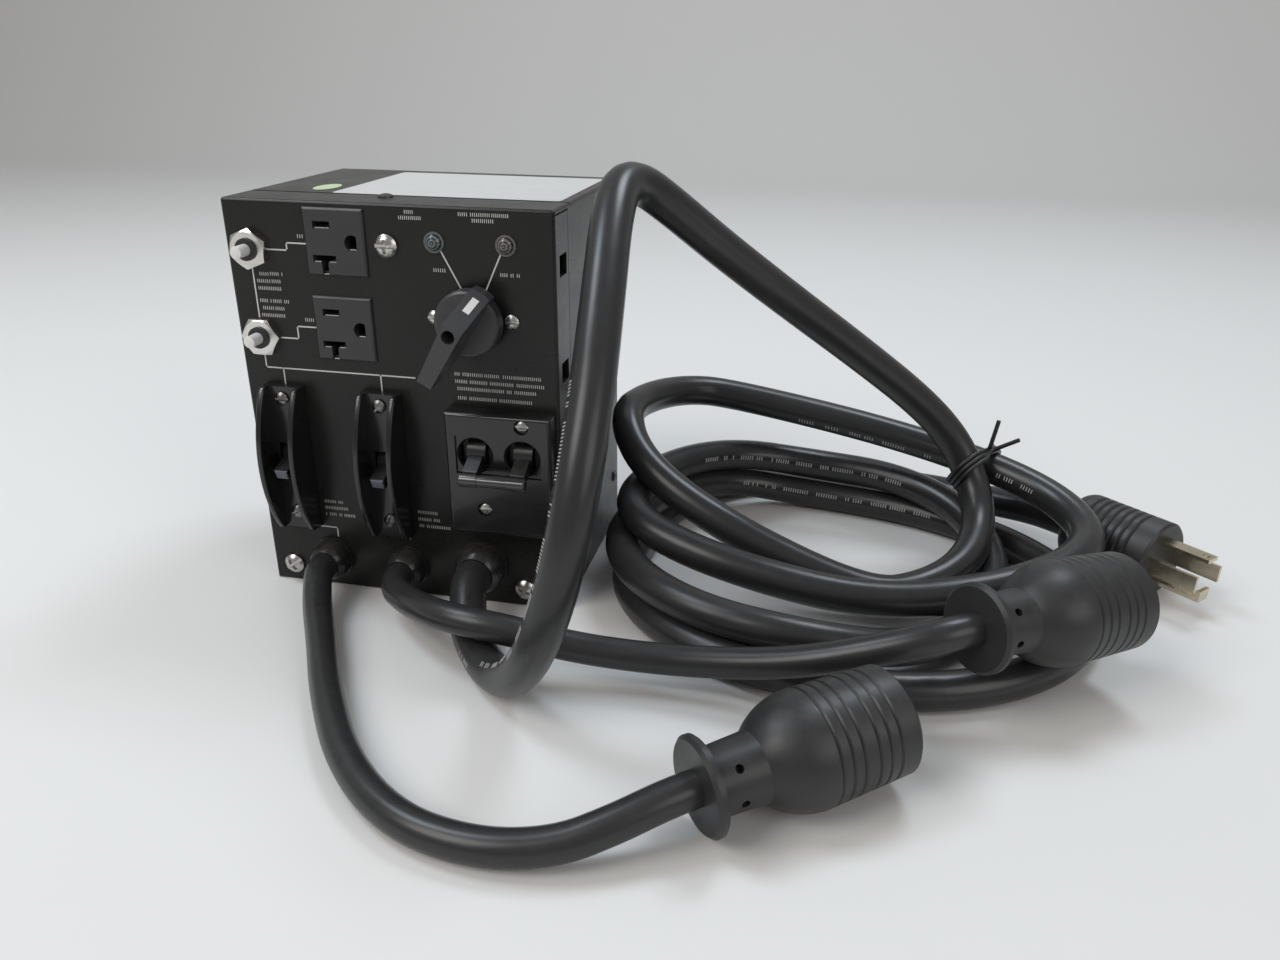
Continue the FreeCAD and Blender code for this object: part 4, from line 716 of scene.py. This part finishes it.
# Printed words on the panel, one bar row each: left end, right end and height, in millimetres
PANEL_WORDS = (
    (-54.2, -49.9, 135.6), (-48.8, -42.3, 135.8), (-54.7, -49.6, 132.8), (-48.5, -45.2, 132.9),
    (-54.6, -45.3, 130.0), (-54.7, -50.2, 125.1), (-49.1, -42.7, 125.1), (-54.6, -49.6, 122.2),
    (-48.5, -45.1, 122.2), (-54.7, -45.2, 119.3), (-36.2, -33.3, 150.7), (-36.3, -33.0, 118.4),
    (9.0, 12.1, 161.4), (6.6, 15.0, 159.3), (29.9, 41.7, 161.4), (42.7, 48.7, 161.4), (35.1, 43.7, 159.3),
    (18.9, 23.2, 140.6), (44.2, 52.1, 140.1),
    (24.4, 29.3, 100.8), (29.9, 35.4, 100.8), (36.5, 42.1, 100.8), (44.0, 47.4, 100.8), (48.3, 54.0, 100.8),
    (54.8, 58.8, 100.8), (24.5, 38.6, 97.8), (39.4, 47.7, 97.8), (48.6, 56.7, 97.8), (57.5, 60.0, 97.8),
    (24.3, 28.6, 94.9), (29.4, 38.3, 94.9), (39.2, 47.6, 94.9), (48.4, 56.7, 94.9),
    (24.4, 30.6, 91.1), (31.4, 41.4, 91.1), (42.2, 46.4, 91.1), (47.2, 55.7, 91.1),
    (-38.2, -30.2, 40.1), (-38.2, -28.2, 37.2), (-38.2, -33.9, 34.2), (-32.8, -24.6, 34.2),
    (3.9, 12.1, 39.4), (3.9, 13.7, 36.2), (4.1, 8.2, 33.1), (9.3, 17.3, 33.1),
)
# White lines of the wiring diagram: corners of each line on the panel, in millimetres
PANEL_LINES = (
    ((21.9, 148.1), (29.0, 134.5)),
    ((45.5, 148.0), (38.5, 133.1)),
    ((-49.0, 145.2), (-40.4, 145.2), (-40.4, 148.0), (-32.4, 148.0)),
    ((-49.4, 110.5), (-40.3, 110.5), (-40.3, 115.5), (-32.4, 115.5)),
    ((-56.2, 137.3), (-56.2, 118.4)),
    ((-56.3, 103.0), (-56.3, 97.8), (7.5, 97.8)),
    ((-48.9, 97.8), (-48.9, 91.4)),
    ((-6.9, 97.8), (-6.9, 91.4)),
    ((-47.6, 28.0), (-34.0, 28.0), (-34.0, 24.0)),
    ((-6.0, 28.0), (-1.0, 28.0), (-1.0, 26.5)),
)
LINE_WIDTH = 0.55
PRINT_RISE = 0.05
PANEL_BARS = {"Pitch": 0.74 * MM, "Bar Length": 0.26 * MM, "Bar Height": 1.35 * MM,
              "Bar Thickness": PRINT_RISE * MM, "Filled Share": 0.93}
PANEL_SEED = 3


def print_panel(finishes, tree):
    """Silk-screen print: greeked words and the white lines of the wiring diagram."""
    out = Vector((0, -1, 0))
    surface = PANEL_Y - PRINT_RISE / 2
    rows = [[(Vector((left, surface, z)) * MM, out), (Vector((right, surface, z)) * MM, out)]
            for left, right, z in PANEL_WORDS]
    words = print_bars("panel_print", rows, tree, PANEL_BARS, PANEL_SEED)
    mesh = bpy.data.meshes.new("panel_lines")
    built = bmesh.new()
    for corners in PANEL_LINES:
        for (x0, z0), (x1, z1) in zip(corners, corners[1:]):
            length = math.hypot(x1 - x0, z1 - z0) + LINE_WIDTH
            place = Matrix.Translation(Vector(((x0 + x1) / 2, surface, (z0 + z1) / 2)) * MM)
            turn = Matrix.Rotation(-math.atan2(z1 - z0, x1 - x0), 4, "Y")
            size = Matrix.Diagonal((length * MM, PRINT_RISE * MM, LINE_WIDTH * MM, 1))
            bmesh.ops.create_cube(built, size=1, matrix=place @ turn @ size)
    built.to_mesh(mesh)
    built.free()
    lines = mesh_object("panel_lines", mesh, finishes["print_white"])
    for piece in (words, lines):
        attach(piece, "case")


# Printed stretches of the input cord: first and last share of its length, and the way the print faces
CORD_PRINT = (
    (0.0165, 0.0215, (-0.75, -0.62, 0.2)),
    (0.0235, 0.0345, (-0.72, -0.22, 0.66)),
    (0.037, 0.078, (-0.82, -0.46, 0.33)),
    (0.331, 0.354, (0.1, -0.9, -0.4)),
    (0.369, 0.378, (-0.3, -0.9, 0.1)),
    (0.503, 0.548, (0.05, -0.97, 0.2)),
    (0.707, 0.744, (0.05, -0.95, 0.35)),
)
# Strokes of each printed word, and the spacing of strokes and words in millimetres
WORD_STROKES = (8, 6, 12, 10, 8, 16, 8, 8)
STROKE_PITCH = 1.15
WORD_GAP = 5.2
CORD_BARS = {"Pitch": STROKE_PITCH * MM, "Bar Length": 0.42 * MM, "Bar Height": 1.9 * MM,
             "Bar Thickness": 0.16 * MM, "Filled Share": 0.88}
CORD_SEED = 7


def place_on_line(line, travelled, distance):
    """Point and direction at a distance along a line of points."""
    index = min(bisect.bisect_right(travelled, distance), len(line) - 1)
    step = line[index] - line[index - 1]
    share = (distance - travelled[index - 1]) / step.length
    return line[index - 1] + step * share, step.normalized()


def print_cord(cord, tree):
    """Greeked words along a cord's jacket."""
    line = centre_line(cord)
    radius = cord.data.bevel_depth
    steps = [(after - here).length for here, after in zip(line, line[1:])]
    travelled = [0.0, *itertools.accumulate(steps)]
    rows = []
    for first, last, facing in CORD_PRINT:
        distance = first * travelled[-1]
        for strokes in itertools.cycle(WORD_STROKES):
            row = []
            for stroke in range(strokes):
                point, along = place_on_line(line, travelled, distance + stroke * STROKE_PITCH * MM)
                way = Vector(facing)
                way = (way - along * way.dot(along)).normalized()
                row.append((point + way * radius, way))
            rows.append(row)
            distance += ((strokes - 1) * STROKE_PITCH + WORD_GAP) * MM
            if distance > last * travelled[-1]:
                break
    words = print_bars("cord_print", rows, tree, CORD_BARS, CORD_SEED)
    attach(words, "case")


# Bright contact leaves on the floors of the outlet slots: middle from the outlet's centre, and width
SLOT_LEAVES = ((-4.8, 5.5, 5.8), (-7.85, -7.2, 2.7), (-1.75, -7.2, 2.7), (-4.8, -11.8, 2.0), (7.1, -2.2, 2.5))
LEAF_FRONT = 0.5
LEAF_DEPTH = 7.6
LEAF_THICK = 0.3
# Section of a leaf, from its rolled front edge to its back: depth and rise
LEAF_SECTION = ((0, -0.15), (0.25, -0.08), (0.7, 0), (LEAF_DEPTH, 0))


def fit_slot_leaves(finishes):
    """Spring leaves in the outlet slots, each with its front edge rolled down."""
    mesh = bpy.data.meshes.new("slot_leaves")
    built = bmesh.new()
    for centre_x, centre_z in OUTLET_PLACES:
        for x, z, width in SLOT_LEAVES:
            rims = []
            for side in (-width / 2, width / 2):
                upper = [(centre_x + x + side, OUTLET_FACE_Y + LEAF_FRONT + deep, centre_z + z + rise)
                         for deep, rise in LEAF_SECTION]
                lower = [(px, py, pz - LEAF_THICK) for px, py, pz in reversed(upper)]
                rims.append([built.verts.new(Vector(corner) * MM) for corner in upper + lower])
            left, right = rims
            count = len(left)
            built.faces.new(left)
            built.faces.new(reversed(right))
            for k in range(count):
                after = (k + 1) % count
                built.faces.new((left[after], left[k], right[k], right[after]))
    bmesh.ops.recalc_face_normals(built, faces=built.faces)
    built.to_mesh(mesh)
    built.free()
    leaves = mesh_object("slot_leaves", mesh, finishes["slot_leaf"])
    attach(leaves, "case")


# Reset nuts, in millimetres and degrees: middle on the panel and turn of each, and their common sizes
RESET_NUTS = ((-55.8, 145.3, 22.0), (-55.8, 110.7, 0.0))
NUT_FLATS = 14.0
NUT_THICK = 3.0
NUT_BORE_RADIUS = 4.31
NUT_FACE_RADIUS = 6.6
NUT_BEVEL = 30.0
NUT_STEPS = 48


def nut_rings(x, z, turn):
    """Rings of a nut's section from its bore to its flats, with the corners bevelled off the front."""
    rings = []
    for step in range(NUT_STEPS):
        angle = step * 360 / NUT_STEPS
        from_flat = math.radians((angle - turn) % 60 - 30)
        edge = NUT_FLATS / 2 / math.cos(from_flat)
        edge_height = NUT_THICK - (edge - NUT_FACE_RADIUS) * math.tan(math.radians(NUT_BEVEL))
        section = ((NUT_BORE_RADIUS, 0), (NUT_BORE_RADIUS, NUT_THICK), (NUT_FACE_RADIUS, NUT_THICK),
                   (edge, edge_height), (edge, 0))
        across, up = math.cos(math.radians(angle)), math.sin(math.radians(angle))
        rings.append([(x + reach * across, PANEL_Y - out, z + reach * up) for reach, out in section])
    return rings


def bevel_nuts(finishes):
    """Panel nuts of the reset breakers, at the solids' size and place, with bevelled corners."""
    for number, place in enumerate(RESET_NUTS, 1):
        name = f"reset_nut_{number}"
        mesh = bpy.data.meshes.new(name)
        built = bmesh.new()
        rings = [[built.verts.new(Vector(corner) * MM) for corner in ring] for ring in nut_rings(*place)]
        for here, after in zip(rings, rings[1:] + rings[:1]):
            for k in range(len(here)):
                built.faces.new((here[k - 1], here[k], after[k], after[k - 1]))
        bmesh.ops.recalc_face_normals(built, faces=built.faces)
        built.to_mesh(mesh)
        built.free()
        nut = mesh_object(name, mesh, finishes["nickel_nut"])
        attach(nut, "case")
        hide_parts(f"reset_breaker_{number}_nut")


# Label and sticker on the top of the case, in millimetres
LABEL_SPAN = (-31, 62, -27, 41.5)
LABEL_ROUND = 1.6
STICKER_CENTRE = (-40.5, -12)
STICKER_HALVES = (4.6, 8.6)
STICKER_STEPS = 36
PLATE_THICK = 0.12


def plate(name, corners, material):
    """Thin sheet lying on the top of the case, from its outline."""
    mesh = bpy.data.meshes.new(name)
    built = bmesh.new()
    face = built.faces.new([built.verts.new((x * MM, y * MM, CASE_TOP * MM)) for x, y in corners])
    raised = bmesh.ops.extrude_face_region(built, geom=[face])
    top = [item for item in raised["geom"] if isinstance(item, bmesh.types.BMVert)]
    bmesh.ops.translate(built, verts=top, vec=(0, 0, PLATE_THICK * MM))
    bmesh.ops.recalc_face_normals(built, faces=built.faces)
    built.to_mesh(mesh)
    built.free()
    piece = mesh_object(name, mesh, material)
    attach(piece, "case")


def rounded_outline(x0, x1, y0, y1, radius, steps=6):
    """Corners of a rectangle with round corners, anticlockwise."""
    points = []
    centres = ((x1 - radius, y1 - radius, 0), (x0 + radius, y1 - radius, 90),
               (x0 + radius, y0 + radius, 180), (x1 - radius, y0 + radius, 270))
    for x, y, start in centres:
        for step in range(steps + 1):
            angle = math.radians(start + 90 * step / steps)
            points.append((x + radius * math.cos(angle), y + radius * math.sin(angle)))
    return points


def stick_labels(finishes):
    """Bare white label and plain oval sticker on the top of the case."""
    plate("top_label", rounded_outline(*LABEL_SPAN, LABEL_ROUND), finishes["label_white"])
    (middle_x, middle_y), (half_x, half_y) = STICKER_CENTRE, STICKER_HALVES
    turns = [step * 2 * math.pi / STICKER_STEPS for step in range(STICKER_STEPS)]
    oval = [(middle_x + half_x * math.cos(turn), middle_y + half_y * math.sin(turn)) for turn in turns]
    plate("oval_sticker", oval, finishes["sticker_green"])


def dress_nodes(finishes):
    """Give every CAD node the finish of its material slot."""
    own_finish = {"input_breaker_toggles": "input_toggle_black", "left_lamp_housing": "green_rim",
                  "right_lamp_housing": "pink_rim"}
    for entry in frame["record"]["subparts"]:
        node = entry["node"]
        for place in nodes[node].material_slots:
            place.material = finishes[own_finish.get(node, entry["material_slot"])]


set_camera()
set_light()
finishes = make_finishes()
cords = lay_cords(finishes)
build_floor(finishes["pale_floor"])
dress_nodes(finishes)
panel_tree = make_print_tree(finishes["print_white"])
print_panel(finishes, panel_tree)
cord_tree = make_print_tree(finishes["cord_print"])
print_cord(cords["input_cord_run"], cord_tree)
fit_slot_leaves(finishes)
bevel_nuts(finishes)
stick_labels(finishes)
